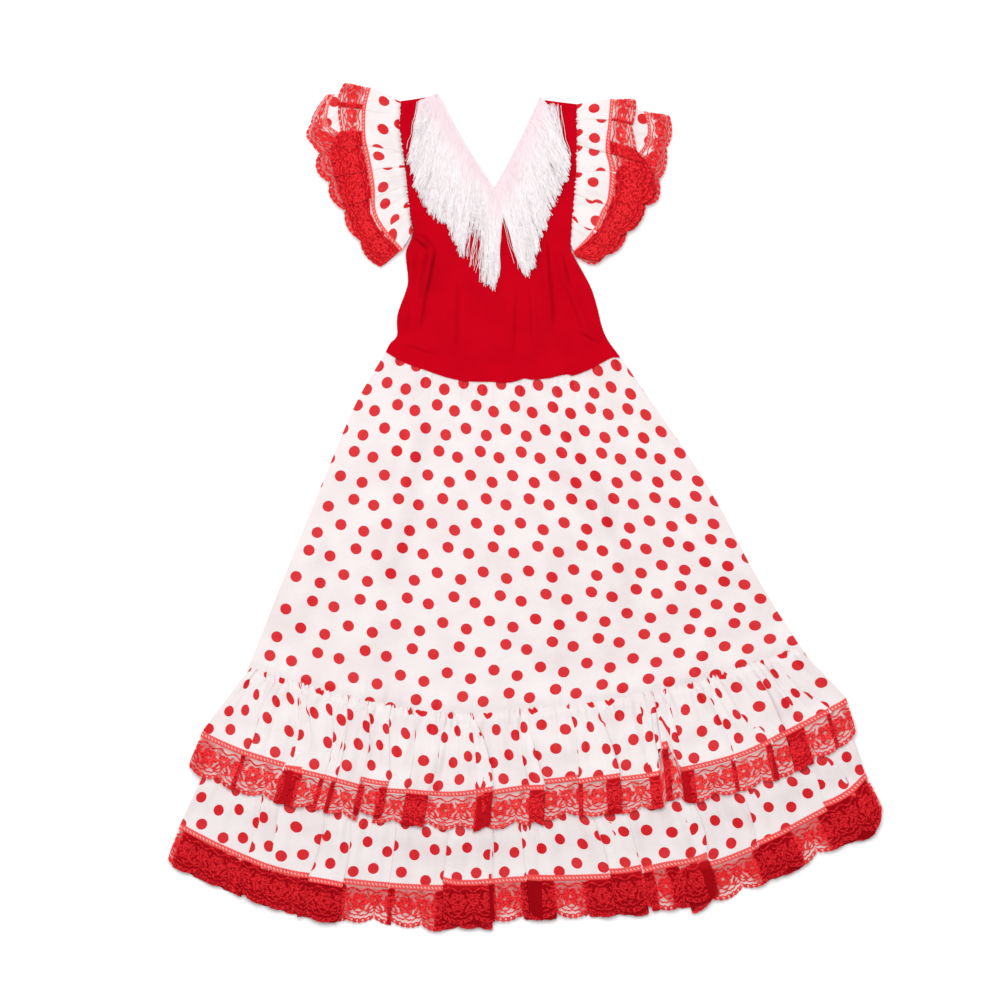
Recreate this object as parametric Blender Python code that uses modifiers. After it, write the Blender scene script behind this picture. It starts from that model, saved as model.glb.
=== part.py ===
"""Girl's flamenco dress, laid flat on its back and facing up.

Red jersey bodice with a V neck, dotted satin skirt, two gathered hem ruffles and two-tier flutter
sleeves, each ruffle ending in red lace, and a fringed tape round the neck.

X runs across the dress, Y from hem to neck, Z up from the surface it lies on, in metres. Every piece
is cut as its own wall of cloth and settled on the pieces already laid under it, from the back ruffle
up to the fringe.
"""

import math
from collections import namedtuple

import bmesh
import bpy
import numpy as np

# ---------------------------------------------------------------- driving sizes
JERSEY_WALL = 0.0012
SATIN_WALL = 0.0010
LACE_WALL = 0.0010
TAPE_WALL = 0.0016
SEAM_GAP = 0.0003  # between pieces that are sewn edge to edge, and between layers
TAPE_WIDTH = 0.008
EDGE_GAP = 0.0006  # between edges whose faces tilt towards each other
GATHER_PITCH = 0.0135  # along a ruffle's seam
GATHER_RISE = 0.0016
SCALLOP_PITCH = 0.031  # lobes of the lace edge
SCALLOP_DEPTH = 0.006
FOLD_FACE = 0.0035  # ground that the steep face of a fold takes up
LOCK_COUNT = 90  # of the fringe, along the tape
LOCK_THICK = 0.0015
LOCK_LEVELS = 3
LEVEL_RISE = 0.0017

# How far around each of its points a piece looks for cloth to rest on: about half a step of its grid.
TAPE_REACH = 0.006
BODICE_REACH = 0.010
RUFFLE_REACH = 0.014
SKIRT_REACH = 0.020
BACK_REACH = 0.028

# ---------------------------------------------------------------- outlines (x, y)
WAIST = [(-0.139, 0.156), (-0.098, 0.1375), (-0.035, 0.1265), (0.024, 0.1295), (0.065, 0.139),
         (0.095, 0.1505)]
SKIRT_LEFT = [(-0.139, 0.156), (-0.170, 0.102), (-0.204, 0.021), (-0.250, -0.093), (-0.303, -0.228)]
SKIRT_RIGHT = [(0.095, 0.1505), (0.163, 0.052), (0.194, 0.001), (0.241, -0.086), (0.315, -0.200)]
UPPER_SEAM = [(-0.274, -0.161), (-0.206, -0.182), (-0.125, -0.2005), (-0.061, -0.207), (0.005, -0.202),
              (0.089, -0.192), (0.171, -0.175), (0.273, -0.141)]
UPPER_HEM = [(-0.3225, -0.226), (-0.275, -0.246), (-0.189, -0.271), (-0.097, -0.285), (-0.043, -0.284),
             (0.046, -0.272), (0.122, -0.267), (0.207, -0.249), (0.265, -0.222), (0.321, -0.193)]
UPPER_EDGE = [(-0.339, -0.264), (-0.278, -0.289), (-0.191, -0.307), (-0.084, -0.323), (-0.035, -0.322),
              (0.046, -0.313), (0.107, -0.305), (0.173, -0.296), (0.250, -0.275),
              (0.299, -0.251), (0.333, -0.230)]
LOWER_SEAM = [(-0.303, -0.228), (-0.189, -0.262), (-0.070, -0.277), (0.046, -0.265), (0.207, -0.242),
              (0.315, -0.200)]
LOWER_HEM = [(-0.344, -0.318), (-0.301, -0.340), (-0.242, -0.363), (-0.181, -0.373), (-0.089, -0.379),
             (-0.010, -0.371), (0.074, -0.368), (0.138, -0.357), (0.195, -0.352), (0.250, -0.328),
             (0.314, -0.291), (0.340, -0.268)]
LOWER_EDGE = [(-0.3597, -0.358), (-0.301, -0.384), (-0.227, -0.410), (-0.130, -0.420), (-0.092, -0.4252),
              (-0.023, -0.416), (0.056, -0.412), (0.115, -0.408), (0.186, -0.397), (0.258, -0.370),
              (0.306, -0.345), (0.348, -0.328), (0.3603, -0.306)]

# Half panels of the bodice, from the waist up: the outer edge is the side seam and then the armhole,
# the inner edge the middle of the chest and then the neckline.
NECK_POINT = (-0.031, 0.319)
WAIST_MIDDLE = (-0.030, 0.1265)
LEFT_OUTER = [(-0.139, 0.156), (-0.135, 0.164), (-0.128, 0.172), (-0.1275, 0.193), (-0.117, 0.225),
              (-0.119, 0.254), (-0.112, 0.275), (-0.116, 0.298), (-0.1195, 0.335), (-0.125, 0.378),
              (-0.1245, 0.406)]
LEFT_INNER = [WAIST_MIDDLE, NECK_POINT, (-0.063, 0.369), (-0.086, 0.412)]
RIGHT_OUTER = [(0.095, 0.1505), (0.083, 0.167), (0.077, 0.181), (0.072, 0.201), (0.065, 0.222), (0.049, 0.251),
               (0.0455, 0.262), (0.0485, 0.300), (0.0515, 0.338), (0.052, 0.389), (0.0515, 0.403)]
RIGHT_INNER = [WAIST_MIDDLE, NECK_POINT, (-0.010, 0.358), (0.014, 0.408)]

Fold = namedtuple("Fold", "seam hem faces rise run")
# seam, hem: share of the way along each line; faces: -1 the edge of the fold faces the start of the
# line, +1 its end; rise: height of that edge; run: share of the line it takes to lie down again.
UPPER_FOLDS = [
    Fold(0.031, 0.077, +1, 0.0024, 0.05),
    Fold(0.077, 0.131, -1, 0.0036, 0.07),
    Fold(0.144, 0.186, -1, 0.0024, 0.05),
    Fold(0.180, 0.204, -1, 0.0024, 0.05),
    Fold(0.212, 0.245, -1, 0.0026, 0.05),
    Fold(0.262, 0.293, +1, 0.0028, 0.04),
    Fold(0.288, 0.316, -1, 0.0040, 0.07),
    Fold(0.352, 0.355, +1, 0.0022, 0.04),
    Fold(0.413, 0.451, +1, 0.0036, 0.06),
    Fold(0.486, 0.501, -1, 0.0022, 0.05),
    Fold(0.506, 0.529, +1, 0.0034, 0.05),
    Fold(0.575, 0.574, -1, 0.0024, 0.05),
    Fold(0.628, 0.642, +1, 0.0038, 0.06),
    Fold(0.672, 0.672, +1, 0.0022, 0.03),
    Fold(0.716, 0.746, +1, 0.0050, 0.06),
    Fold(0.745, 0.765, -1, 0.0044, 0.05),
    Fold(0.820, 0.815, +1, 0.0026, 0.05),
    Fold(0.852, 0.874, +1, 0.0030, 0.05),
    Fold(0.905, 0.893, -1, 0.0036, 0.06),
    Fold(0.955, 0.972, +1, 0.0026, 0.04),
]
LOWER_FOLDS = [
    Fold(0.062, 0.100, -1, 0.0024, 0.05),
    Fold(0.105, 0.134, -1, 0.0022, 0.04),
    Fold(0.170, 0.195, +1, 0.0026, 0.05),
    Fold(0.217, 0.243, +1, 0.0050, 0.07),
    Fold(0.288, 0.302, -1, 0.0026, 0.04),
    Fold(0.356, 0.376, -1, 0.0050, 0.08),
    Fold(0.430, 0.440, -1, 0.0022, 0.04),
    Fold(0.478, 0.492, -1, 0.0040, 0.05),
    Fold(0.545, 0.608, -1, 0.0046, 0.05),
    Fold(0.640, 0.654, -1, 0.0026, 0.04),
    Fold(0.712, 0.752, +1, 0.0048, 0.06),
    Fold(0.790, 0.819, -1, 0.0036, 0.06),
    Fold(0.905, 0.925, -1, 0.0044, 0.07),
]
BACK_FOLDS = [Fold(s, s, -1, 0.0016, 0.07) for s in (0.08, 0.19, 0.30, 0.41, 0.52, 0.63, 0.74, 0.86)]

# Sleeve tiers, from the shoulder to the underarm: seam at the armhole, hem where the lace starts, edge
# of the lace.
Tier = namedtuple("Tier", "seam hem edge")
LEFT_ARMHOLE = [(-0.1248, 0.4058), (-0.1253, 0.378), (-0.1198, 0.335), (-0.1163, 0.298), (-0.1123, 0.2755)]
LEFT_TOP = Tier(
    LEFT_ARMHOLE,
    [(-0.154, 0.419), (-0.159, 0.397), (-0.159, 0.370), (-0.155, 0.351), (-0.150, 0.322), (-0.149, 0.297),
     (-0.140, 0.279), (-0.122, 0.258)],
    [(-0.185, 0.4258), (-0.188, 0.403), (-0.187, 0.379), (-0.194, 0.357), (-0.190, 0.329), (-0.180, 0.299),
     (-0.167, 0.267), (-0.146, 0.239)])
LEFT_UNDER = Tier(
    LEFT_ARMHOLE,
    [(-0.195, 0.413), (-0.198, 0.397), (-0.193, 0.376), (-0.187, 0.357), (-0.180, 0.327), (-0.170, 0.302),
     (-0.155, 0.275), (-0.128, 0.254)],
    [(-0.203, 0.408), (-0.220, 0.377), (-0.211, 0.355), (-0.207, 0.337), (-0.199, 0.318), (-0.189, 0.301),
     (-0.181, 0.285), (-0.168, 0.261), (-0.148, 0.237)])
RIGHT_ARMHOLE = [(0.0518, 0.4028), (0.0523, 0.389), (0.0518, 0.338), (0.0488, 0.300), (0.0458, 0.2615)]
RIGHT_TOP = Tier(
    RIGHT_ARMHOLE,
    [(0.085, 0.408), (0.083, 0.384), (0.080, 0.358), (0.084, 0.337), (0.082, 0.308), (0.076, 0.296),
     (0.067, 0.276), (0.049, 0.256)],
    [(0.115, 0.408), (0.104, 0.379), (0.111, 0.355), (0.127, 0.337), (0.131, 0.317), (0.125, 0.300),
     (0.111, 0.282), (0.095, 0.263), (0.074, 0.246), (0.052, 0.250)])
RIGHT_UNDER = Tier(
    RIGHT_ARMHOLE,
    [(0.120, 0.398), (0.1225, 0.376), (0.118, 0.354), (0.121, 0.332), (0.117, 0.307), (0.105, 0.285),
     (0.087, 0.264), (0.049, 0.255)],
    [(0.149, 0.389), (0.146, 0.361), (0.141, 0.337), (0.138, 0.321), (0.132, 0.301), (0.118, 0.287),
     (0.107, 0.271), (0.087, 0.250), (0.068, 0.2415), (0.051, 0.249)])
SLEEVE_FOLDS = [
    Fold(0.16, 0.15, +1, 0.0030, 0.10),
    Fold(0.32, 0.30, -1, 0.0044, 0.14),
    Fold(0.44, 0.42, +1, 0.0030, 0.10),
    Fold(0.58, 0.57, +1, 0.0040, 0.12),
    Fold(0.72, 0.72, -1, 0.0034, 0.12),
    Fold(0.86, 0.87, +1, 0.0026, 0.10),
]
UNDER_FOLDS = [f._replace(rise=0.4 * f.rise) for f in SLEEVE_FOLDS]
SLEEVE_BACK_FOLDS = [Fold(s, s, +1, 0.0014, 0.14) for s in (0.2, 0.42, 0.64, 0.86)]
BACK_SHARE = 0.965  # how far the hidden back of a sleeve tier reaches towards the front's edge

Crease = namedtuple("Crease", "x0 y0 x1 y1 width rise")
# Soft ridges of the panels, from one end to the other, rounded off over their width.
SKIRT_CREASES = [
    Crease(0.012, 0.120, 0.088, -0.040, 0.013, 0.0030),
    Crease(0.056, 0.060, 0.104, -0.110, 0.012, 0.0022),
    Crease(-0.108, 0.100, -0.140, -0.080, 0.012, 0.0024),
    Crease(0.148, -0.012, 0.212, -0.080, 0.011, 0.0024),
    Crease(0.190, -0.100, 0.172, -0.165, 0.010, 0.0018),
    Crease(-0.200, -0.010, -0.245, -0.140, 0.015, 0.0020),
    Crease(0.010, -0.020, 0.030, -0.180, 0.014, 0.0018),
]
BODICE_CREASES = [
    Crease(-0.108, 0.268, -0.098, 0.200, 0.007, 0.0034),
    Crease(-0.112, 0.250, -0.117, 0.190, 0.006, 0.0024),
    Crease(0.036, 0.262, 0.040, 0.170, 0.009, 0.0026),
    Crease(0.008, 0.250, 0.012, 0.150, 0.008, 0.0016),
    Crease(-0.072, 0.240, -0.070, 0.150, 0.009, 0.0014),
    Crease(-0.120, 0.170, -0.075, 0.158, 0.006, 0.0016),
]

Wing = namedtuple("Wing", "share tip_x tip_y")
# Where the fringe ends: tips of the locks for shares of the tape, from the left shoulder round the
# neck point to the right shoulder.
FRINGE_TIPS = [
    Wing(0.00, -0.110, 0.372),
    Wing(0.06, -0.119, 0.342),
    Wing(0.14, -0.108, 0.306),
    Wing(0.22, -0.093, 0.288),
    Wing(0.30, -0.076, 0.262),
    Wing(0.38, -0.066, 0.247),
    Wing(0.43, -0.050, 0.232),
    Wing(0.48, -0.040, 0.224),
    Wing(0.525, -0.029, 0.226),
    Wing(0.545, -0.004, 0.240),
    Wing(0.60, 0.006, 0.238),
    Wing(0.68, 0.019, 0.268),
    Wing(0.78, 0.030, 0.302),
    Wing(0.88, 0.041, 0.334),
    Wing(1.00, 0.042, 0.366),
]

RED_JERSEY = ("red_jersey", (0.56, 0.004, 0.020), 0.75)
DOTTED_SATIN = ("dotted_satin", (0.86, 0.80, 0.82), 0.50)
RED_LACE = ("red_lace", (0.72, 0.03, 0.035), 0.70)
WHITE_FRINGE = ("white_fringe", (0.90, 0.84, 0.87), 0.55)


# ---------------------------------------------------------------- curves
def smooth_line(stations, shares):
    """Points at these shares of the length of a smooth curve through the stations."""
    p = np.array(stations, float)
    ends = np.vstack([2 * p[0] - p[1], p, 2 * p[-1] - p[-2]])
    t = np.linspace(0, 1, 12, endpoint=False)[:, None]
    pieces = []
    for a, b, c, d in zip(ends[:-3], ends[1:-2], ends[2:-1], ends[3:]):
        bend, twist = 2 * a - 5 * b + 4 * c - d, 3 * b - a - 3 * c + d
        pieces.append(b + 0.5 * ((c - a) * t + bend * t**2 + twist * t**3))
    dense = np.vstack(pieces + [p[-1:]])
    along = np.concatenate([[0], np.cumsum(np.linalg.norm(np.diff(dense, axis=0), axis=1))])
    at = np.asarray(shares) * along[-1]
    return np.stack([np.interp(at, along, dense[:, k]) for k in range(2)], axis=-1)


def length_of(stations):
    points = smooth_line(stations, np.linspace(0, 1, 60))
    return float(np.linalg.norm(np.diff(points, axis=0), axis=1).sum())


def ease(x):
    """Smooth step from 0 to 1."""
    x = np.clip(x, 0, 1)
    return x * x * (3 - 2 * x)


# ---------------------------------------------------------------- the pile of cloth laid so far
class Pile:
    """Height of what has been laid, on square cells, so that the next piece can rest on it."""

    CELL = 0.002
    HALF = 0.47

    def __init__(self):
        count = int(2 * self.HALF / self.CELL)
        self.top = np.zeros((count, count))

    def place(self, value):
        return (np.asarray(value) + self.HALF) / self.CELL - 0.5

    def add(self, obj):
        mesh = obj.evaluated_get(bpy.context.evaluated_depsgraph_get()).to_mesh()
        mesh.calc_loop_triangles()
        points = np.array([v.co for v in mesh.vertices])
        corners = points[np.array([t.vertices for t in mesh.loop_triangles])]
        longest = np.linalg.norm(corners - np.roll(corners, 1, axis=1), axis=2).max(axis=1)
        steps = np.ceil(longest / (0.7 * self.CELL)).astype(int)
        for n in np.unique(steps):
            weights = np.array([(i, j, n - i - j) for i in range(n + 1) for j in range(n + 1 - i)]) / n
            samples = np.einsum("wk,tkc->twc", weights, corners[steps == n]).reshape(-1, 3)
            i, j = (np.rint(self.place(samples[:, k])).astype(int) for k in range(2))
            np.maximum.at(self.top, (i, j), samples[:, 2])

    def rest(self, xy, reach):
        """Height at which a piece lies at these points: the highest cloth within reach, smoothed."""
        cells = round(reach / self.CELL)
        soft = cells // 2
        wide = range(-cells - soft, cells + soft + 1)
        level = self.top
        for axis in (0, 1):
            level = np.max([np.roll(level, k, axis) for k in wide], axis=0)
        for axis in (0, 1, 0, 1):
            level = np.mean([np.roll(level, k, axis) for k in range(-soft // 2, soft // 2 + 1)], axis=0)
        fi, fj = self.place(xy[..., 0]), self.place(xy[..., 1])
        i, j = np.floor(fi).astype(int), np.floor(fj).astype(int)
        u, v = fi - i, fj - j
        found = ((1 - u) * (1 - v) * level[i, j] + u * (1 - v) * level[i + 1, j]
                 + (1 - u) * v * level[i, j + 1] + u * v * level[i + 1, j + 1])
        return found + np.minimum(found, SEAM_GAP)


# ---------------------------------------------------------------- building one wall of cloth
def material(finish):
    name, colour, roughness = finish
    made = bpy.data.materials.get(name)
    if made is None:
        made = bpy.data.materials.new(name)
        made.use_nodes = True
        shader = made.node_tree.nodes["Principled BSDF"]
        shader.inputs["Base Color"].default_value = (*colour, 1)
        shader.inputs["Roughness"].default_value = roughness
        shader.inputs["Metallic"].default_value = 0.0
    return made


def add_object(name, mesh, finish):
    obj = bpy.data.objects.new(name, mesh)
    obj.data.materials.append(material(finish))
    DRESS.objects.link(obj)
    return obj


def sheet_mesh(name, grids):
    """One open mesh of the grids of points, each (rows, columns, 3); edges that meet are welded."""
    whole = bmesh.new()
    for grid in grids:
        rows, columns = grid.shape[:2]
        made = bmesh.ops.create_grid(whole, x_segments=columns - 1, y_segments=rows - 1, size=1)
        for vertex, point in zip(made["verts"], grid.reshape(-1, 3)):
            vertex.co = point
    bmesh.ops.remove_doubles(whole, verts=whole.verts, dist=1e-6)
    bmesh.ops.recalc_face_normals(whole, faces=whole.faces)
    if sum(face.normal.z * face.calc_area() for face in whole.faces) < 0:
        bmesh.ops.reverse_faces(whole, faces=whole.faces)
    mesh = bpy.data.meshes.new(name)
    whole.to_mesh(mesh)
    whole.free()
    return mesh


def lay(name, grids, rises, wall, finish, reach):
    """Lays a wall of cloth: its underside is the grids of (x, y), raised above what lies under it."""
    undersides = [np.dstack([xy, PILE.rest(xy, reach) + rise]) for xy, rise in zip(grids, rises)]
    obj = add_object(name, sheet_mesh(name, undersides), finish)
    solid = obj.modifiers.new("wall", "SOLIDIFY")
    solid.thickness = wall
    solid.offset = 1
    solid.use_even_offset = True
    obj.data.shade_smooth()
    bpy.context.view_layer.update()
    return obj


def settle(*objects):
    """Adds the pieces to the pile, once all of their layer has been laid."""
    for obj in objects:
        PILE.add(obj)


# ---------------------------------------------------------------- forms of the cloth
def crease_rise(xy, creases):
    rise = np.zeros(xy.shape[:-1])
    for c in creases:
        start, way = np.array([c.x0, c.y0]), np.array([c.x1 - c.x0, c.y1 - c.y0])
        length = np.linalg.norm(way)
        along = ((xy - start) @ way) / length
        across = (xy - start) @ np.array([-way[1], way[0]]) / length
        end = ease(along / (3 * c.width)) * ease((length - along) / (3 * c.width))
        rise += c.rise * end * np.exp(-((across / c.width) ** 2))
    return rise


def fold_stations(folds, columns, length):
    """Shares of the line for the columns, with two of them on each side of every fold's steep face."""
    half = FOLD_FACE / 2 / length
    even = list(np.linspace(0, 1, columns))
    marks = [f.hem + side * half for f in folds for side in (-1, 1)]
    kept = [s for s in even if all(abs(s - m) > 0.9 * half for m in marks)]
    return np.array(sorted(kept + marks))


def fold_rise(shares, t, folds, length):
    """Height of the folds: a steep face, then a long slope back down. t is 0 at the seam, 1 at the hem."""
    half = FOLD_FACE / 2 / length
    rise = np.zeros((len(t), len(shares)))
    for f in folds:
        past = f.faces * (shares - f.hem)
        slope = np.where(past > half, 0, 1 - ease((-past - half) / f.run))
        face = np.clip((half - past) / (2 * half), 0, 1)
        rise += f.rise * np.outer(0.35 + 0.65 * ease(t), face * slope)
    return rise


def gather_rise(shares, t, count, depth):
    """Ripples of the gathering, deepest at the seam."""
    wave = 0.5 - 0.5 * np.cos(2 * math.pi * count * shares)
    return depth * np.outer((1 - ease(t)) ** 1.3, wave)


def between(first, second, shares, t):
    """Grid of points from one line (t 0) to another (t 1)."""
    a, b = smooth_line(first, shares), smooth_line(second, shares)
    return a[None] + np.asarray(t)[:, None, None] * (b - a)[None]


def drift(shares, t, folds):
    """The shares at each t, moved so that every fold runs from its place at the seam to that at the hem."""
    hem = np.array([0] + [f.hem for f in folds] + [1])
    seam = np.array([0] + [f.seam for f in folds] + [1])
    at_seam = np.interp(shares, hem, seam)
    return at_seam[None] + np.asarray(t)[:, None] * (shares - at_seam)[None]


def ruffle_grid(seam, hem, shares, t, folds):
    """Points of a ruffle, row by row from its seam to its hem."""
    moved = drift(shares, t, folds)
    rows = [smooth_line(seam, s) * (1 - k) + smooth_line(hem, s) * k for s, k in zip(moved, t)]
    return np.array(rows)


def lace_grid(hem, edge, shares, rows):
    """Points of a lace strip, from the ruffle's hem to the scalloped edge."""
    start, end = smooth_line(hem, shares), smooth_line(edge, shares)
    way = (end - start) / np.linalg.norm(end - start, axis=1)[:, None]
    lobes = np.abs(np.sin(math.pi * shares * round(length_of(edge) / SCALLOP_PITCH)))
    end = end - way * (SCALLOP_DEPTH * (1 - lobes))[:, None]
    t = np.linspace(0, 1, rows)[:, None, None]
    first = start + way * EDGE_GAP
    return first[None] + t * (end - first)[None]


def ruffle(name, lace_name, tier, folds, gathers, rows, reach):
    """A gathered ruffle of satin and the lace sewn to its hem, with two columns for each gather."""
    length = length_of(tier.hem)
    shares = fold_stations(folds, 2 * gathers + 1, length)
    t = np.linspace(0, 1, rows)
    cloth = ruffle_grid(tier.seam, tier.hem, shares, t, folds)
    depth = GATHER_RISE if folds in (UPPER_FOLDS, LOWER_FOLDS, SLEEVE_FOLDS) else 0
    rise = fold_rise(shares, t, folds, length) + gather_rise(shares, t, gathers, depth)
    frill = lace_grid(tier.hem, tier.edge, shares, 2)
    frill_rise = fold_rise(shares, np.ones(2), folds, length)
    return (lay(name, [cloth], [rise], SATIN_WALL, DOTTED_SATIN, reach),
            lay(lace_name, [frill], [frill_rise], LACE_WALL, RED_LACE, reach))


def bodice_grids(outer_pair, inner_pair, rows, columns):
    """The two half panels, from the waist up; they share the middle line up to the neck point."""
    across = np.linspace(0, 1, columns)
    grids = []
    for outer, inner in zip(outer_pair, inner_pair):
        chest = np.linalg.norm(np.subtract(*inner[:2]))
        neck_share = chest / (chest + length_of(inner[1:]))
        below = round(rows * neck_share)
        neck_rows = np.linspace(0, 1, rows - below + 1)
        shares = np.append(np.linspace(0, neck_share, below), neck_share + (1 - neck_share) * neck_rows[1:])
        middle = np.vstack([np.linspace(inner[0], inner[1], below), smooth_line(inner[1:], neck_rows)[1:]])
        side = smooth_line(outer, shares)
        grid = side[:, None] + across[None, :, None] * (middle - side)[:, None]
        # the lower rows bend down to the curved waist seam
        drop = waist_points(side[0], middle[0], across) - grid[0]
        for k in range(below):
            grid[k] += drop * (1 - k / below) ** 2
        grids.append(grid)
    return grids


def waist_points(start, end, across):
    """Points on the waist seam at even shares of x between two of its points."""
    curve = smooth_line(WAIST, np.linspace(0, 1, 80))
    x = start[0] + across * (end[0] - start[0])
    return np.stack([x, np.interp(x, curve[:, 0], curve[:, 1]) + EDGE_GAP], axis=-1)


def skirt_grid(rows, columns, lowest):
    """A skirt panel from the waist to the seam of the lower ruffle."""
    t = np.linspace(0, 1, rows)
    shares = np.linspace(0, 1, columns)
    left, right = smooth_line(SKIRT_LEFT, t), smooth_line(SKIRT_RIGHT, t)
    straight = left[:, None] + shares[None, :, None] * (right - left)[:, None]
    top, bottom = smooth_line(WAIST, shares), smooth_line(lowest, shares) + (0, EDGE_GAP)
    grid = straight + (1 - t)[:, None, None] ** 3 * (top - straight[0])[None]
    return grid + t[:, None, None] ** 2 * (bottom - straight[-1])[None]


# ---------------------------------------------------------------- the neck tape and its fringe
def tape_lines(outwards):
    """Inner and outer edge of the tape, from the left shoulder round the neck point to the right."""
    left = smooth_line(LEFT_INNER[1:], np.linspace(1, 0, 12))
    right = smooth_line(RIGHT_INNER[1:], np.linspace(0, 1, 12))
    inner = np.vstack([left, right[1:]])
    way = np.gradient(inner, axis=0)
    way /= np.linalg.norm(way, axis=1)[:, None]
    out = np.stack([way[:, 1], -way[:, 0]], axis=-1)
    point = len(left) - 1
    before, after = inner[point] - inner[point - 1], inner[point + 1] - inner[point]
    half_turn = math.acos(float(before @ after / np.linalg.norm(before) / np.linalg.norm(after))) / 2
    widths = np.full(len(inner), outwards)
    widths[point] = outwards / math.cos(half_turn)
    return inner, inner + out * widths[:, None]


def lay_fringe():
    """The tape along the neckline, with locks of fringe fused into its lower edge."""
    inner, outer = tape_lines(TAPE_WIDTH)
    across = np.linspace(0, 1, 3)
    grid = inner[:, None] + across[None, :, None] * (outer - inner)[:, None]
    tape = lay("neck_fringe", [grid], [np.zeros(grid.shape[:2])], TAPE_WALL, WHITE_FRINGE, TAPE_REACH)
    level = PILE.rest(grid, TAPE_REACH) + TAPE_WALL / 2
    sewn = np.dstack([grid, level])[:, 1:].mean(axis=1)
    along = np.concatenate([[0], np.cumsum(np.linalg.norm(np.diff(outer, axis=0), axis=1))])
    rng = np.random.default_rng(7)
    wings = np.array(FRINGE_TIPS)
    curve = bpy.data.curves.new("locks", "CURVE")
    curve.dimensions = "3D"
    curve.bevel_depth = LOCK_THICK / 2
    curve.bevel_resolution = 0
    curve.use_fill_caps = True
    for k in range(LOCK_COUNT):
        share = (k + 0.5) / LOCK_COUNT
        root = np.array([np.interp(share * along[-1], along, sewn[:, a]) for a in range(3)])
        tip = np.array([np.interp(share, wings[:, 0], wings[:, a]) for a in (1, 2)])
        tip = tip + (tip - root[:2]) * rng.uniform(-0.10, 0.04)
        route = root[:2] + np.linspace(0.15, 1, 6)[:, None] * (tip - root[:2])
        height = PILE.rest(route, TAPE_REACH).max() + LOCK_THICK / 2 + k % LOCK_LEVELS * LEVEL_RISE
        spline = curve.splines.new("POLY")
        spline.points.add(2)
        spline.points[0].co = (*root, 1)
        spline.points[1].co = (*route[0], height, 1)
        spline.points[2].co = (*route[-1], height, 1)
    return tape, curve


def fuse_fringe(tape, curve):
    """Joins the locks to the tape as one solid."""
    locks = bpy.data.objects.new("locks", curve)
    CUTTERS.objects.link(locks)
    bpy.context.view_layer.update()
    mesh = bpy.data.meshes.new_from_object(locks.evaluated_get(bpy.context.evaluated_depsgraph_get()))
    bpy.data.objects.remove(locks)
    welded = bmesh.new()
    welded.from_mesh(mesh)
    bmesh.ops.remove_doubles(welded, verts=welded.verts, dist=1e-5)
    bmesh.ops.recalc_face_normals(welded, faces=welded.faces)
    welded.to_mesh(mesh)
    welded.free()
    solid = bpy.data.objects.new("locks", mesh)
    solid.hide_render = True
    solid.display_type = "WIRE"
    CUTTERS.objects.link(solid)
    join = tape.modifiers.new("locks", "BOOLEAN")
    join.operation = "UNION"
    join.object = solid
    join.use_self = True
    return tape


# ---------------------------------------------------------------- laying the dress
for old in list(bpy.data.objects):
    bpy.data.objects.remove(old)
DRESS = bpy.data.collections.new("flamenco_dress")
CUTTERS = bpy.data.collections.new("cutters")
bpy.context.scene.collection.children.link(DRESS)
bpy.context.scene.collection.children.link(CUTTERS)
PILE = Pile()


def shrunk(tier, share):
    """A tier whose hem and lace stop short of the front's, as the hidden back of the sleeve."""
    inner = smooth_line(tier.seam, np.linspace(0, 1, 9))
    lines = []
    for line in (tier.hem, tier.edge):
        points = smooth_line(line, np.linspace(0, 1, 9))
        lines.append([tuple(p) for p in inner + share * (points - inner)])
    return Tier(tier.seam, *lines)


UPPER = Tier(UPPER_SEAM, UPPER_HEM, UPPER_EDGE)
LOWER = Tier(LOWER_SEAM, LOWER_HEM, LOWER_EDGE)
SLEEVES = {"left": (LEFT_TOP, LEFT_UNDER), "right": (RIGHT_TOP, RIGHT_UNDER)}
SKIRT_GATHERS = round(length_of(UPPER_SEAM) / GATHER_PITCH)
SLEEVE_GATHERS = round(length_of(LEFT_ARMHOLE) / GATHER_PITCH)
BACK_WAVES = 14
SLEEVE_BACK_WAVES = 4

# the back of the dress, lying on the surface
settle(*ruffle("upper_ruffle_back", "upper_lace_back", UPPER, BACK_FOLDS, BACK_WAVES, 3, BACK_REACH))
back_halves = bodice_grids((LEFT_OUTER, RIGHT_OUTER), (LEFT_INNER, RIGHT_INNER), 12, 5)
bodice_back = lay("bodice_back", back_halves, [0, 0], JERSEY_WALL, RED_JERSEY, BODICE_REACH)
back_skirt = skirt_grid(10, 11, LOWER_SEAM)
skirt_back = lay("skirt_back", [back_skirt], [0], SATIN_WALL, DOTTED_SATIN, BACK_REACH)
lower_back = ruffle("lower_ruffle_back", "lower_lace_back", LOWER, BACK_FOLDS, BACK_WAVES, 4, BACK_REACH)
settle(bodice_back, skirt_back, *lower_back)
for side, (top, under) in SLEEVES.items():
    for level, tier in (("top", top), ("under", under)):
        name = f"{side}_sleeve_{level}_back"
        settle(*ruffle(name, name + "_lace", shrunk(tier, BACK_SHARE), SLEEVE_BACK_FOLDS,
                       SLEEVE_BACK_WAVES, 3, RUFFLE_REACH))

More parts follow.
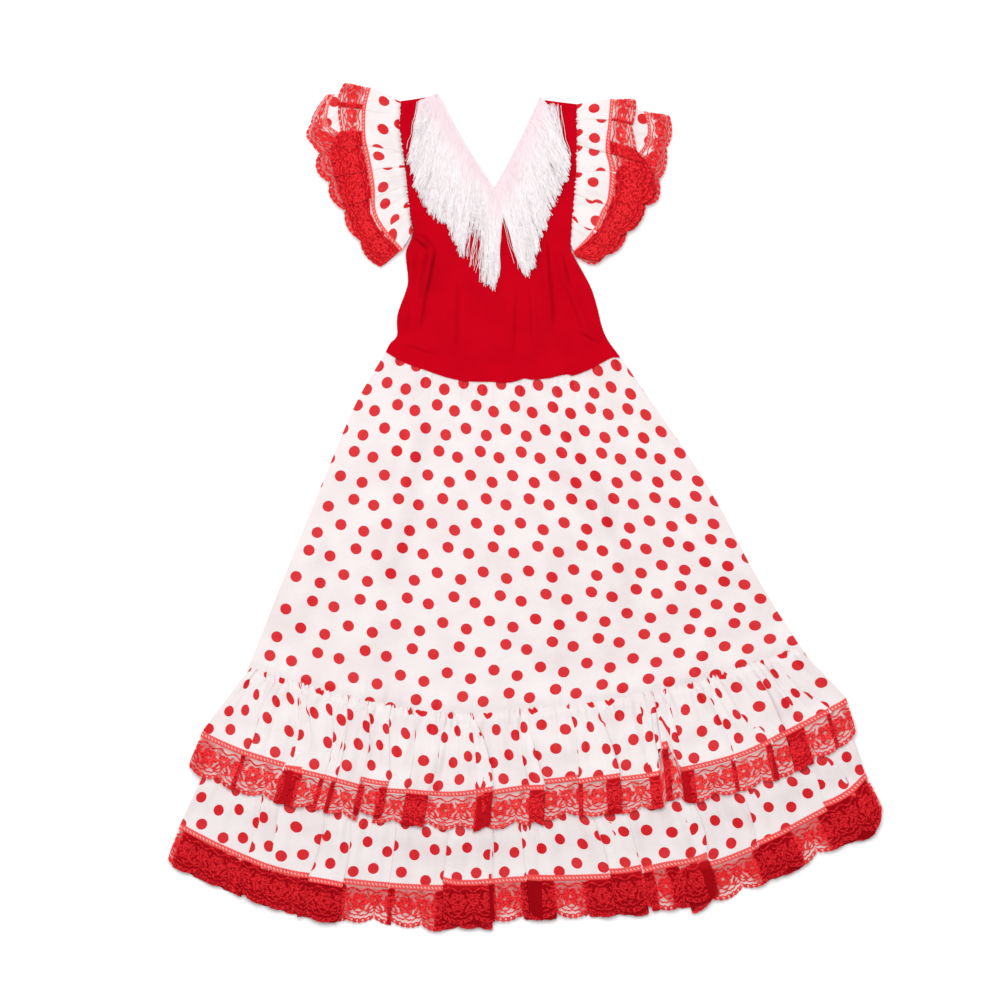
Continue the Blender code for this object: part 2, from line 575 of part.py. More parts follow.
# the front, laid over it
front_halves = bodice_grids((LEFT_OUTER, RIGHT_OUTER), (LEFT_INNER, RIGHT_INNER), 17, 8)
bodice_rises = [crease_rise(half, BODICE_CREASES) for half in front_halves]
bodice_front = lay("bodice_front", front_halves, bodice_rises, JERSEY_WALL, RED_JERSEY, BODICE_REACH)
front_skirt = skirt_grid(13, 20, LOWER_SEAM)
skirt_front = lay("skirt_front", [front_skirt], [crease_rise(front_skirt, SKIRT_CREASES)],
                  SATIN_WALL, DOTTED_SATIN, SKIRT_REACH)
lower_front = ruffle("lower_ruffle_front", "lower_lace_front", LOWER, LOWER_FOLDS, SKIRT_GATHERS, 4,
                     RUFFLE_REACH)
settle(bodice_front, skirt_front, *lower_front)
for side, (top, under) in SLEEVES.items():
    for level, tier, folds in (("under", under, UNDER_FOLDS), ("top", top, SLEEVE_FOLDS)):
        name = f"{side}_sleeve_{level}_front"
        settle(*ruffle(name, name + "_lace", tier, folds, SLEEVE_GATHERS, 3, BODICE_REACH))
settle(*ruffle("upper_ruffle_front", "upper_lace_front", UPPER, UPPER_FOLDS, SKIRT_GATHERS, 4,
               RUFFLE_REACH))
fuse_fringe(*lay_fringe())
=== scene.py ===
import math
from collections import namedtuple

import bpy
import numpy as np
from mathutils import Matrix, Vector


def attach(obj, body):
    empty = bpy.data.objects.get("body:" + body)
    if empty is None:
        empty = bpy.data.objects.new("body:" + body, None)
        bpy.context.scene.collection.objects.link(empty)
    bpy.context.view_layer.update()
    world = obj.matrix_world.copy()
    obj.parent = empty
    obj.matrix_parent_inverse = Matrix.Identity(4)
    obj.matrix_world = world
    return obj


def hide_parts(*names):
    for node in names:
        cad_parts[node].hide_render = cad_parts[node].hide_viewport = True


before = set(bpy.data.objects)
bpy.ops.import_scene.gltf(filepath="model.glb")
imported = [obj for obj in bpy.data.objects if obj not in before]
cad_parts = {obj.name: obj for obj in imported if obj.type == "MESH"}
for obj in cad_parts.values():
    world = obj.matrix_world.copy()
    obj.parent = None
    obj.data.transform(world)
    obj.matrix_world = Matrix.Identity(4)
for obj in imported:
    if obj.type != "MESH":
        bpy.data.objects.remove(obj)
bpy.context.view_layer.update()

# ================================================================ bodice, back
# A panel of red cotton jersey, cut to the V of the neck. The dress lies on its back, so this panel
# lies on the table and the rest of the dress is laid over it.

WAIST = [(-0.139, 0.156), (-0.129, 0.150), (-0.118, 0.1444), (-0.098, 0.1375), (-0.079, 0.131),
         (-0.059, 0.1270), (-0.0345, 0.1263), (-0.017, 0.1255), (-0.009, 0.1270), (0.000, 0.1298),
         (0.007, 0.1285), (0.024, 0.1300), (0.041, 0.1340), (0.048, 0.1325), (0.065, 0.1390),
         (0.086, 0.1500), (0.095, 0.1505)]
NECK_POINT = (-0.031, 0.319)
WAIST_MIDDLE = (-0.030, 0.1265)
LEFT_SIDE = [(-0.139, 0.156), (-0.135, 0.164), (-0.128, 0.172), (-0.1275, 0.193), (-0.117, 0.225),
             (-0.119, 0.254), (-0.112, 0.275), (-0.116, 0.298), (-0.1195, 0.335), (-0.125, 0.378),
             (-0.1245, 0.406)]
LEFT_NECK = [NECK_POINT, (-0.063, 0.369), (-0.086, 0.412)]
RIGHT_SIDE = [(0.095, 0.1505), (0.083, 0.167), (0.077, 0.181), (0.072, 0.201), (0.065, 0.222),
              (0.049, 0.251), (0.0455, 0.262), (0.0485, 0.300), (0.0515, 0.338), (0.052, 0.389),
              (0.0515, 0.403)]
RIGHT_NECK = [NECK_POINT, (-0.010, 0.358), (0.014, 0.408)]
JERSEY_WALL = 0.0007
JERSEY_RED = (0.500, 0.0006, 0.0085, 1)
LAYER_GAP = 0.0003
FOLD_GAP = 0.0007  # between the layers of a fold
CHEST_ROWS = 0.68  # share of the rows of the bodice that lie below the neck point
NEAR = 1e-5  # points of a mesh that are nearer than this are one point
RIM_ANGLE = math.radians(60)  # edges of a wall that turn more than this are shaded as sharp


def way_through(points):
    """How far along the way through these points each of them is."""
    return np.concatenate([[0], np.cumsum(np.linalg.norm(np.diff(points, axis=0), axis=1))])


def points_at(places, known, points):
    """Points at these places of a line that has the given points at the known places."""
    return np.stack([np.interp(places, known, points[:, k]) for k in range(2)], axis=-1)


def smooth_line(stations, shares):
    """Points at these shares of the length of a smooth curve through the stations."""
    p = np.array(stations, float)
    ends = np.vstack([2 * p[0] - p[1], p, 2 * p[-1] - p[-2]])
    t = np.linspace(0, 1, 12, endpoint=False)[:, None]
    pieces = []
    for a, b, c, d in zip(ends[:-3], ends[1:-2], ends[2:-1], ends[3:]):
        bend, twist = 2 * a - 5 * b + 4 * c - d, 3 * b - a - 3 * c + d
        pieces.append(b + 0.5 * ((c - a) * t + bend * t**2 + twist * t**3))
    dense = np.vstack(pieces + [p[-1:]])
    known = way_through(dense)
    return points_at(np.asarray(shares) * known[-1], known, dense)


def length_of(stations):
    points = smooth_line(stations, np.linspace(0, 1, 60))
    return float(np.linalg.norm(np.diff(points, axis=0), axis=1).sum())


def length_between(first, second):
    """How far apart two lines are, over their middle half."""
    middle = np.linspace(0.25, 0.75, 7)
    apart = smooth_line(first, middle) - smooth_line(second, middle)
    return float(np.linalg.norm(apart, axis=1).mean())


def y_on(line, x):
    """The y at these x of a line that runs from left to right."""
    curve = smooth_line(line, np.linspace(0, 1, 80))
    return np.interp(x, curve[:, 0], curve[:, 1])


def ease(x):
    """Smooth step from 0 to 1."""
    x = np.clip(x, 0, 1)
    return x * x * (3 - 2 * x)


def ripples(x, wave, seed):
    """Smooth seeded noise along a line, about -1 to 1, with waves of about this length."""
    rng = np.random.default_rng(seed)
    lengths = wave * rng.uniform(0.6, 1.7, 6)
    phases = rng.uniform(0, 2 * math.pi, 6)
    return sum(np.sin(2 * math.pi * x / a + b) for a, b in zip(lengths, phases)) / 3


def rumple(xy, wave, seed):
    """Smooth seeded noise over the plane, about -1 to 1."""
    rng = np.random.default_rng(seed)
    total = 0
    for turn in rng.uniform(0, math.pi, 7):
        way = np.array([math.cos(turn), math.sin(turn)]) * 2 * math.pi
        way = way / (wave * rng.uniform(0.7, 1.6))
        total = total + np.sin(xy @ way + rng.uniform(0, 2 * math.pi))
    return total / 3.5


def new_mesh(name, points, faces):
    mesh = bpy.data.meshes.new(name)
    mesh.from_pydata(points, [], faces)
    return mesh


def placed(name, data):
    """A new object in the scene."""
    obj = bpy.data.objects.new(name, data)
    bpy.context.scene.collection.objects.link(obj)
    return obj


def points_of(mesh):
    points = np.empty(len(mesh.vertices) * 3)
    mesh.vertices.foreach_get("co", points)
    return points.reshape(-1, 3)


def store(mesh, name, values):
    """Stores a number for each point of the mesh."""
    mesh.attributes.new(name, "FLOAT", "POINT").data.foreach_set("value", values)


class Pile:
    """Height of the cloth laid so far, on square cells, so that the next piece can rest on it."""

    CELL = 0.002
    HALF = 0.47

    def __init__(self):
        count = int(2 * self.HALF / self.CELL)
        self.top = np.zeros((count, count))

    def place(self, value):
        return (np.asarray(value) + self.HALF) / self.CELL - 0.5

    def add(self, obj):
        mesh = obj.data
        mesh.calc_loop_triangles()
        corner = np.empty(len(mesh.loop_triangles) * 3, int)
        mesh.loop_triangles.foreach_get("vertices", corner)
        corners = points_of(mesh)[corner.reshape(-1, 3)]
        longest = np.linalg.norm(corners - np.roll(corners, 1, axis=1), axis=2).max(axis=1)
        steps = np.ceil(longest / (0.7 * self.CELL)).astype(int)
        for n in np.unique(steps[steps > 0]):
            weights = [(i, j, n - i - j) for i in range(n + 1) for j in range(n + 1 - i)]
            weights = np.array(weights) / n
            samples = np.einsum("wk,tkc->twc", weights, corners[steps == n]).reshape(-1, 3)
            i, j = (np.rint(self.place(samples[:, k])).astype(int) for k in range(2))
            np.maximum.at(self.top, (i, j), samples[:, 2])

    def rest(self, xy, reach=0.006):
        """Height at which a piece rests at these points: the highest cloth in reach, smoothed."""
        cells = round(reach / self.CELL)
        soft = max(2, cells // 2)
        level = self.top
        for axis in (0, 1):
            level = np.max([np.roll(level, k, axis) for k in range(-cells - 1, cells + 2)], axis=0)
        for axis in (0, 1, 0, 1):
            level = np.mean([np.roll(level, k, axis) for k in range(-soft, soft + 1)], axis=0)
        fi, fj = self.place(xy[..., 0]), self.place(xy[..., 1])
        i, j = np.floor(fi).astype(int), np.floor(fj).astype(int)
        u, v = fi - i, fj - j
        found = ((1 - u) * (1 - v) * level[i, j] + u * (1 - v) * level[i + 1, j]
                 + (1 - u) * v * level[i, j + 1] + u * v * level[i + 1, j + 1])
        return found + np.minimum(found, LAYER_GAP)


class LaceLayers(Pile):
    """How many layers of lace lie over each other, on square cells."""

    CELL = 0.001

    def spread(self, grid):
        """How many layers of this grid lie over each cell."""
        corners = grid[:-1, :-1, :2], grid[1:, :-1, :2], grid[:-1, 1:, :2], grid[1:, 1:, :2]
        area = np.abs(np.cross(corners[3] - corners[0], corners[2] - corners[1])) / 2 / self.CELL**2
        found = np.zeros_like(self.top)
        steps = (np.arange(6) + 0.5) / 6
        for s in steps:
            for t in steps:
                weights = (1 - s) * (1 - t), s * (1 - t), (1 - s) * t, s * t
                place = self.place(sum(w * c for w, c in zip(weights, corners)))
                i, j = (np.rint(place[..., k]).astype(int) for k in range(2))
                np.add.at(found, (i, j), area / len(steps) ** 2)
        return found

    def cover(self, grid):
        """Lays plain cloth, which hides the lace under it."""
        self.top[self.spread(grid) > 0.5] = 0

    def add(self, grid):
        self.top += self.spread(grid)

    def mark(self, obj, most):
        """Stores on each point of the piece how many layers of lace lie with its own."""
        level = self.top
        for axis in (0, 1):
            level = np.mean([np.roll(level, k, axis) for k in (-1, 0, 1)], axis=0)
        i, j = np.rint(self.place(points_of(obj.data)[:, :2])).astype(int).T
        store(obj.data, "layers", np.clip(level[i, j], 1, most))


PILE = Pile()
LACE_LAYERS = LaceLayers()


def plain_copy(obj):
    """Turns the object's modifiers into plain mesh."""
    bpy.context.view_layer.update()
    done = bpy.data.meshes.new_from_object(obj.evaluated_get(bpy.context.evaluated_depsgraph_get()))
    obj.modifiers.clear()
    obj.data = done
    return obj


def pull(xy, cut):
    """How much smaller the cloth lies than it is when flat, in each direction alike."""
    areas = []
    for grid in (cut, xy):
        down, across = np.gradient(grid, axis=0), np.gradient(grid, axis=1)
        areas.append(np.abs(down[..., 0] * across[..., 1] - down[..., 1] * across[..., 0]))
    return np.sqrt(areas[0] / areas[1])


def cloth(name, grids, cuts, wall, finish, pulls=1.0):
    """A wall of cloth over grids of (x, y, z). cuts are the same points on the flat cloth, in
    metres, and pulls is how much smaller the cloth lies at each point than it is when flat."""
    points, faces, places, first = [], [], [], 0
    for grid, cut in zip(grids, cuts):
        rows, columns = grid.shape[:2]
        at = np.arange(rows * columns).reshape(rows, columns)
        quads = np.stack([at[:-1, :-1], at[1:, :-1], at[1:, 1:], at[:-1, 1:]], axis=-1)
        quads = quads.reshape(-1, 4)
        a, b, c = (grid.reshape(-1, 3)[quads[:, k], :2] for k in (0, 1, 2))
        if np.cross(b - a, c - b).sum() < 0:
            quads = quads[:, ::-1]
        points += grid.reshape(-1, 3).tolist()
        faces += (quads + first).tolist()
        places.append(cut.reshape(-1, 2)[quads])
        first += rows * columns
    mesh = new_mesh(name, points, faces)
    mesh.uv_layers.new(name="cloth").data.foreach_set("uv", np.concatenate(places).ravel())
    joined = len(grids) > 1
    values = np.ones(first) if joined else np.broadcast_to(pulls, (rows, columns)).ravel()
    store(mesh, "pull", values)
    mesh.materials.append(finish)
    mesh.shade_smooth()
    obj = placed(name, mesh)
    if joined:
        obj.modifiers.new("joined", "WELD").merge_threshold = NEAR
    if wall:
        solid = obj.modifiers.new("wall", "SOLIDIFY")
        solid.thickness = wall
        solid.offset = 1
    plain_copy(obj).data.set_sharp_from_angle(angle=RIM_ANGLE)
    return obj


def cut_area(cut):
    """Area of the flat cloth, in square metres."""
    a, b = cut[1:, 1:] - cut[:-1, :-1], cut[1:, :-1] - cut[:-1, 1:]
    return float(abs(np.cross(a, b)).sum() / 2)


def sewn_in(obj, slot, *nodes):
    """The piece rides with the dress and stands for its CAD nodes."""
    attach(obj, "root")
    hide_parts(*nodes)


def add_node(tree, kind, links, settings):
    """Adds a node with these settings, and values or links by input. Returns its outputs."""
    made = tree.nodes.new(kind)
    for key, value in settings.items():
        setattr(made, key, value)
    for key, value in (links or {}).items():
        value = getattr(value, "socket", value)
        if isinstance(value, bpy.types.NodeSocket):
            tree.links.new(value, made.inputs[key])
        else:
            made.inputs[key].default_value = value
    return made.outputs


class Signal:
    """A varying number or colour in a material; a sum written on it adds its Math nodes."""

    def __init__(self, finish, socket):
        self.finish = finish
        self.socket = socket

    def math(self, operation, *others):
        return self.finish.node("Math", dict(enumerate((self, *others))), operation=operation)

    def __add__(self, other):
        return self.math("ADD", other)

    def __sub__(self, other):
        return self.math("SUBTRACT", other)

    def __rsub__(self, other):
        return self.math("MULTIPLY_ADD", -1.0, other)

    def __mul__(self, other):
        return self.math("MULTIPLY", other)

    def least(self, other):
        return self.math("MINIMUM", other)

    def sine(self, length):
        """Waves of this length along the signal."""
        return (self * (2 * math.pi / length)).math("SINE")

    def between(self, low, high):
        """0 at low and below, 1 at high and above."""
        links = {"Value": self, "From Min": low, "From Max": high}
        return self.finish.node("MapRange", links, interpolation_type="SMOOTHSTEP")


class Finish:
    """A material: fixed values on its shader, and what varies from nodes."""

    def __init__(self, name, **fixed):
        self.material = bpy.data.materials.new(name)
        self.material.use_nodes = True
        self.tree = self.material.node_tree
        self.shader = self.tree.nodes["Principled BSDF"]
        for socket, value in fixed.items():
            self.shader.inputs[socket.replace("_", " ")].default_value = value

    def node(self, kind, links=None, out=0, **settings):
        return Signal(self, add_node(self.tree, "ShaderNode" + kind, links, settings)[out])

    def flat_place(self):
        """The place on the flat cloth."""
        return self.node("UVMap", uv_map="cloth")

    def stored(self, name):
        """A number that is stored on the points of the mesh."""
        return self.node("Attribute", out=2, attribute_name=name)

    def noise(self, where, scale, detail=2.0, roughness=0.5):
        links = {"Vector": where, "Scale": scale, "Detail": detail, "Roughness": roughness}
        return self.node("TexNoise", links)

    def mix(self, share, first, second):
        return self.node("Mix", {0: share, 6: first, 7: second}, 2, data_type="RGBA")

    def vector(self, operation, *values, out=0):
        return self.node("VectorMath", dict(enumerate(values)), out, operation=operation)

    def parts(self, where):
        """The x and y of a vector."""
        x, y, _ = add_node(self.tree, "ShaderNodeSeparateXYZ", {0: where}, {})
        return Signal(self, x), Signal(self, y)

    def bump(self, height, depth, strength=1.0):
        return self.node("Bump", {"Height": height, "Distance": depth, "Strength": strength})

    def link(self, **values):
        for socket, value in values.items():
            self.tree.links.new(value.socket, self.shader.inputs[socket.replace("_", " ")])
        return self.material


def jersey_finish():
    """Red knit: fine columns of stitches, a matt surface with a little bloom."""
    f = Finish("red_jersey_knit", Sheen_Weight=0.005, Sheen_Roughness=0.5, Specular_IOR_Level=0.01)
    where = f.flat_place()
    u, v = f.parts(where)
    column = u.sine(0.0011)
    rows = (v + column * 0.0002).sine(0.0009)
    patch = f.noise(where, 26.0, 3.0)
    fluff = f.noise(where, 900.0)
    deep = f.mix(patch.between(0.35, 0.68), JERSEY_RED, (0.465, 0.0004, 0.0075, 1))
    colour = f.mix(fluff.between(0.45, 0.8) * 0.3, deep, (0.56, 0.004, 0.02, 1))
    knit = f.bump(column * 0.5 + rows * 0.5, 0.00012, 0.5)
    return f.link(Base_Color=colour, Roughness=patch * 0.2 + 0.68, Normal=knit)


JERSEY = jersey_finish()


def waist_points(start, end, across):
    """Points on the waist seam at even shares of x between two of its points."""
    x = start[0] + across * (end[0] - start[0])
    return np.stack([x, y_on(WAIST, x)], axis=-1)


def bodice_half(side_line, neck_line, rows, columns, lap):
    """A half panel, from the waist up: its side and armhole, and the middle of the chest and neck.
    Its lower edge laps this far over the skirt."""
    across = np.linspace(0, 1, columns)
    chest = NECK_POINT[1] - WAIST_MIDDLE[1]
    neck_share = chest / (chest + length_of(neck_line))
    below = round(CHEST_ROWS * rows)
    neck_rows = np.linspace(0, 1, rows - below + 1)
    above = neck_share + (1 - neck_share) * neck_rows[1:]
    shares = np.append(np.linspace(0, neck_share, below), above)
    chest_line = np.linspace(WAIST_MIDDLE, NECK_POINT, below)
    middle = np.vstack([chest_line, smooth_line(neck_line, neck_rows)[1:]])
    side = smooth_line(side_line, shares)
    grid = side[:, None] + across[None, :, None] * (middle - side)[:, None]
    drop = waist_points(side[0], middle[0], across) - grid[0]
    for k in range(below):
        grid[k] += (drop - (0, lap)) * (1 - k / below) ** 2
    return grid


def bodice(name, rises, rows, columns, lap):
    """Both halves; rises gives the height of the cloth's forms over what it lies on."""
    halves = [bodice_half(side, neck, rows, columns, lap)
              for side, neck in ((LEFT_SIDE, LEFT_NECK), (RIGHT_SIDE, RIGHT_NECK))]
    grids = [np.dstack([half, PILE.rest(half) + rises(half)]) for half in halves]
    obj = cloth(name + "_cloth", grids, halves, JERSEY_WALL, JERSEY)
    sewn_in(obj, "red_jersey", name)
    return obj, sum(map(cut_area, halves))


bodice_back, bodice_area = bodice("bodice_back", lambda xy: 0 * xy[..., 0], 50, 24, 0)

# ================================================================ upper hem ruffle, back
# A strip of white polyester satin printed with red dots, four of them in every 45 by 49 mm,
# gathered to about two thirds of its length. Red nylon lace, 46 mm wide, is zigzagged over its raw
# hem.

UPPER_SEAM = [(-0.274, -0.161), (-0.206, -0.182), (-0.125, -0.2005), (-0.061, -0.207),
              (0.005, -0.202), (0.089, -0.192), (0.171, -0.175), (0.273, -0.141)]
UPPER_HEM = [(-0.3225, -0.224), (-0.275, -0.244), (-0.189, -0.269), (-0.097, -0.283),
             (-0.043, -0.282), (0.046, -0.27), (0.122, -0.265), (0.207, -0.247), (0.265, -0.22),
             (0.321, -0.191)]
UPPER_EDGE = [(-0.339, -0.264), (-0.278, -0.289), (-0.191, -0.307), (-0.084, -0.323),
              (-0.035, -0.322), (0.046, -0.313), (0.107, -0.305), (0.173, -0.296), (0.250, -0.275),
              (0.299, -0.251), (0.333, -0.230)]
SATIN_WALL = 0.00035
SATIN_WHITE = (0.770, 0.704, 0.706, 1)
# painted shade: a pinkish grey that stands in for shading and red bounce light on the white satin
SATIN_PAINTED_SHADE = (0.720, 0.632, 0.636, 1)
DOT_RED = (0.630, 0.012, 0.018, 1)
DOT_RADIUS = 0.00565
PRINT_REPEAT = (0.045, 0.049, 1.0)
DOTS = [(0.0, 0.0), (0.0196, -0.0063), (-0.0135, -0.0249), (0.0085, -0.0320)]
LACE_WIDTH = 0.046
LACE_REPEAT = 0.031
# the net's red, painted lighter as pale coral: painted light that stands in for red light passing
# through the net and offsets its shadow
LACE_NET = (1.000, 0.540, 0.510, 1)
HEADING_START, HEADING_END = 0.0050, 0.0064  # where the solid band that is sewn over the hem ends
STITCH_PITCH = 0.0036
UNDERLAP = 0.0062  # of the hem under the lace
HEM_WAVES = 0.4  # share of the waves of a ruffle that is left at its hem

Tier = namedtuple("Tier", "seam hem edge")
Fold = namedtuple("Fold", "seam hem faces tuck step", defaults=(0.0,))
Hitch = namedtuple("Hitch", "start end rise edge blend")
# seam, hem: share of the way along each line; faces: -1 the edge of the fold faces the start of
# the line, +1 its end; tuck: depth of the fold at the hem; step: how much lower the hem runs after
# it. A hitch lifts the hem by its rise between the shares start and end, over a blend at both, and
# the edge of the lace by the share edge of that rise.


def satin_finish():
    """White satin, a fine float weave with soft sheen, printed with red dots, with patches of
    painted pink shade.
    """
    f = Finish("dotted_satin_weave", Sheen_Weight=0.02, Sheen_Roughness=0.4,
               Specular_IOR_Level=0.15)
    where = f.flat_place()
    u, v = f.parts(where)
    half = tuple(s / 2 for s in PRINT_REPEAT)
    far = None
    for dot in DOTS:
        near = f.vector("SUBTRACT", where, (*dot, 0))
        near = f.vector("WRAP", near, half, tuple(-h for h in half))
        away = f.vector("LENGTH", near, out=1)
        far = away if far is None else far.least(away)
    bleed = f.noise(where, 700.0)
    past = far + bleed * 0.0006 - f.stored("pull") * (DOT_RADIUS + 0.0003)
    printed = 1 - past.between(-0.0002, 0.0002)
    floats = f.noise(f.vector("MULTIPLY", where, (400.0, 5000.0, 1.0)), 1.0)
    # soft random patches of painted pinkish shade over the white satin
    shade_patches = f.noise(where, 22.0, 3.0)
    white = f.mix(shade_patches.between(0.35, 0.75), SATIN_WHITE, SATIN_PAINTED_SHADE)
    red = f.mix(floats, DOT_RED, (0.540, 0.007, 0.012, 1))
    crumple = f.noise(where, 65.0, 3.0, 0.6)
    relief = f.bump(crumple * 8 + floats * 0.25 + (u + v).sine(0.0007) * 0.1, 0.0003, 0.35)
    colour = f.mix(printed, white, red)
    return f.link(Base_Color=colour, Roughness=floats * 0.12 + 0.40, Normal=relief)


SATIN = satin_finish()


def lace_finish():
    """Red nylon lace: dense thread where the pattern is, and a fine net that lets light pass;
    painted shade deepens its red where layers of it lie over each other.
    """
    f = Finish("red_nylon_lace", Specular_IOR_Level=0.03)
    where = f.flat_place()
    u, v = f.parts(where)
    # painted shade: where layers of lace lie over each other, thread and net are painted deeper and
    # darker red, standing in for the shade and red-filtered light between the layers
    layers = f.stored("layers")
    deep = layers.between(1.8, 4.5)
    doubled = layers.between(1.3, 2.35)
    worked = f.stored("dense").between(0.2, 0.6)
    net = (u.sine(0.0016) * v.sine(0.0016)).math("ABSOLUTE")
    strands = f.noise(where, 1500.0)
    clumps = f.noise(where, 520.0, 3.0, 0.7).between(0.38, 0.62)
    patches = f.noise(where, 130.0).between(0.42, 0.62)
    cells = f.node("TexVoronoi", {"Vector": where, "Scale": 250.0})
    # dark red specks painted where the lace lies double: painted shade seen through its holes
    shaded_holes = (1 - cells.between(0.16, 0.34)) * doubled
    heading = 1 - v.between(HEADING_START, HEADING_END)
    single = f.mix(clumps, (0.560, 0.006, 0.012, 1), (0.940, 0.082, 0.076, 1))
    single = f.mix(patches * 0.55, single, (0.530, 0.005, 0.010, 1))
    double_shaded = f.mix(clumps, (0.520, 0.004, 0.010, 1), (0.860, 0.032, 0.038, 1))
    deepest_shaded = f.mix(clumps, (0.360, 0.001, 0.005, 1), (0.720, 0.020, 0.030, 1))
    thread = f.mix(deep, f.mix(doubled, single, double_shaded), deepest_shaded)
    # the net where the lace lies double, painted darker as shade from the layers under it
    under = f.mix(deep, (0.540, 0.006, 0.012, 1), (0.300, 0.0006, 0.004, 1))
    colour = f.mix(worked, f.mix(doubled, LACE_NET, under), thread)
    colour = f.mix(shaded_holes * 0.7, colour, (0.230, 0.0003, 0.002, 1))
    colour = f.mix(heading * 0.75, colour, (0.920, 0.105, 0.095, 1))
    open_net = net.between(0.15, 0.6) * -0.2 + 0.45
    shown = open_net + doubled * (0.92 - open_net)
    alpha = shown + worked * (0.95 - shown) * (1 - heading * 0.34)
    return f.link(Base_Color=colour, Roughness=strands * 0.2 + 0.6, Alpha=alpha,
                  Normal=f.bump(strands, 0.0002, 0.4))


LACE = lace_finish()


REPEAT_MM = 31
FLOWER_MM = REPEAT_MM / 2  # where the large flower is
SMALL_SCALLOP_MM = 5.167


def scallop(s):
    """Where the edge of the lace runs, in mm from its top, at s mm along a repeat."""
    large = np.abs(np.sin(math.pi * s / REPEAT_MM)) ** 0.8
    return 38.5 + 6.5 * large + 1.1 * np.abs(np.sin(math.pi * s / SMALL_SCALLOP_MM))


def flower(s, v, x, y, size):
    """Above 0 on the petals and the ring of a flower of this radius."""
    r = np.hypot(s - x, v - y)
    turn = np.arctan2(v - y, s - x)
    petals = size * (0.74 + 0.26 * np.abs(np.cos(3 * turn))) - r
    slits = np.abs(np.sin(3 * turn)) * r - 0.45
    petals = np.minimum(petals, np.minimum(slits, r - 0.42 * size))
    return np.maximum(petals, np.minimum(0.40 * size - r, r - 0.17 * size))


def lace_thread(s, v):
    """Above 0 where one repeat of the lace is worked densely; s and v in mm."""
    edge = scallop(s)
    wave = np.cos(2 * math.pi * s / 10.333)
    forms = [
        np.minimum(v - 0.9 + 0.9 * np.abs(np.sin(math.pi * s / 2.583)), 6.4 - v),
        flower(s, v, FLOWER_MM, 22.5, 9.6),
        0.95 - np.abs(v - 10.6 - 1.6 * np.cos(2 * math.pi * s / FLOWER_MM)),
        0.90 - np.abs(v - edge + 12.6 + 1.0 * wave),
        0.85 - np.abs(v - edge + 8.8 - 0.6 * wave),
        np.minimum(edge - 0.9 - v, v - edge + 5.4),
    ]
    for x in (0, REPEAT_MM):
        forms.append(flower(s, v, x, 20.0, 6.8))
        forms.append(1.0 - np.hypot((s - x) * 0.9, (v - 29.0) * 0.36))
    for x in (5.8, 25.2):
        lean = np.sign(x - FLOWER_MM)
        forms.append(1.5 - np.hypot((s - x) + 0.5 * (v - 28) * lean, (v - 28) * 0.42))
        forms.append(1.1 - np.hypot((s - x) - 0.6 * (v - 15.5) * lean, (v - 15.5) * 0.38))
    thread = np.max(forms, axis=0)
    eyelets = np.hypot((s + 2.583) % SMALL_SCALLOP_MM - 2.583, (v - edge + 2.8) * 0.9) - 1.0
    return np.minimum(thread, eyelets)


def lace_ground(s, v):
    """Above 0 inside the whole repeat."""
    return np.minimum(scallop(s) - 0.8 - v, v - 0.6)


def flat_unit(name, field, step):
    """One flat repeat: the part of a grid where the field is above 0, cut along its outline."""
    deep = 1000 * LACE_WIDTH + 1
    columns, rows = round(REPEAT_MM / step), round(deep / step)
    s, v = np.meshgrid(np.linspace(0, REPEAT_MM, columns + 1), np.linspace(0, deep, rows + 1),
                       indexing="ij")
    value = field(s, v)
    points, faces, known = [], [], {}

    def corner(key, place):
        if key not in known:
            known[key] = len(points)
            points.append((place[0] / 1000, place[1] / 1000, 0.0))
        return known[key]

    for i in range(columns):
        for j in range(rows):
            ring = [(i, j), (i + 1, j), (i + 1, j + 1), (i, j + 1)]
            face = []
            for here, after in zip(ring, ring[1:] + ring[:1]):
                a, b = value[here], value[after]
                if a > 0:
                    face.append(corner(here, (s[here], v[here])))
                if (a > 0) != (b > 0):
                    k = a / (a - b)
                    place = (s[here] + k * (s[after] - s[here]), v[here] + k * (v[after] - v[here]))
                    face.append(corner(tuple(sorted((here, after))), place))
            if len(face) > 2:
                faces.append(face)
    return bpy.data.objects.new(name, new_mesh(name, points, faces))


def stitch_unit():
    """One slanted stitch of the zigzag, a low thread that tapers at both ends."""
    wide, high = 0.00055, 0.00040
    points = [(0.0004, 0.0023, 0), (0.0026, 0.0048, 0)]
    way = np.array(points[1]) - points[0]
    side = np.array([-way[1], way[0], 0]) / np.linalg.norm(way) * wide
    for share in (0.3, 0.7):
        centre = points[0] + way * share
        points += [tuple(centre + side), tuple(centre - side), tuple(centre + (0, 0, high))]
    faces = [(0, 4, 2), (0, 3, 4), (2, 4, 7, 5), (4, 3, 6, 7), (5, 7, 1), (7, 6, 1)]
    mesh = new_mesh("stitch_unit", [tuple(p) for p in points], faces)
    return bpy.data.objects.new("stitch_unit", mesh)


LACE_THREAD = flat_unit("lace_thread_unit", lace_thread, 0.8)
LACE_GROUND = flat_unit("lace_ground_unit", lace_ground, 2.4)
BACK_THREAD = flat_unit("back_thread_unit", lace_thread, 1.3)
STITCH = stitch_unit()


def thread_finish():
    """White sewing thread with a twist, painted pink as the red light it takes on from the lace
    round it.
    """
    f = Finish("white_zigzag_thread", Roughness=0.6, Specular_IOR_Level=0.3)
    where = f.flat_place()
    ply = f.noise(where, 2500.0, 1.0)
    # pink tones are painted light: the red that the white thread picks up from the lace round it
    colour = f.mix(ply, (0.88, 0.54, 0.52, 1), (0.84, 0.32, 0.31, 1))
    return f.link(Base_Color=colour, Normal=f.bump(ply, 0.0001))


THREAD = thread_finish()


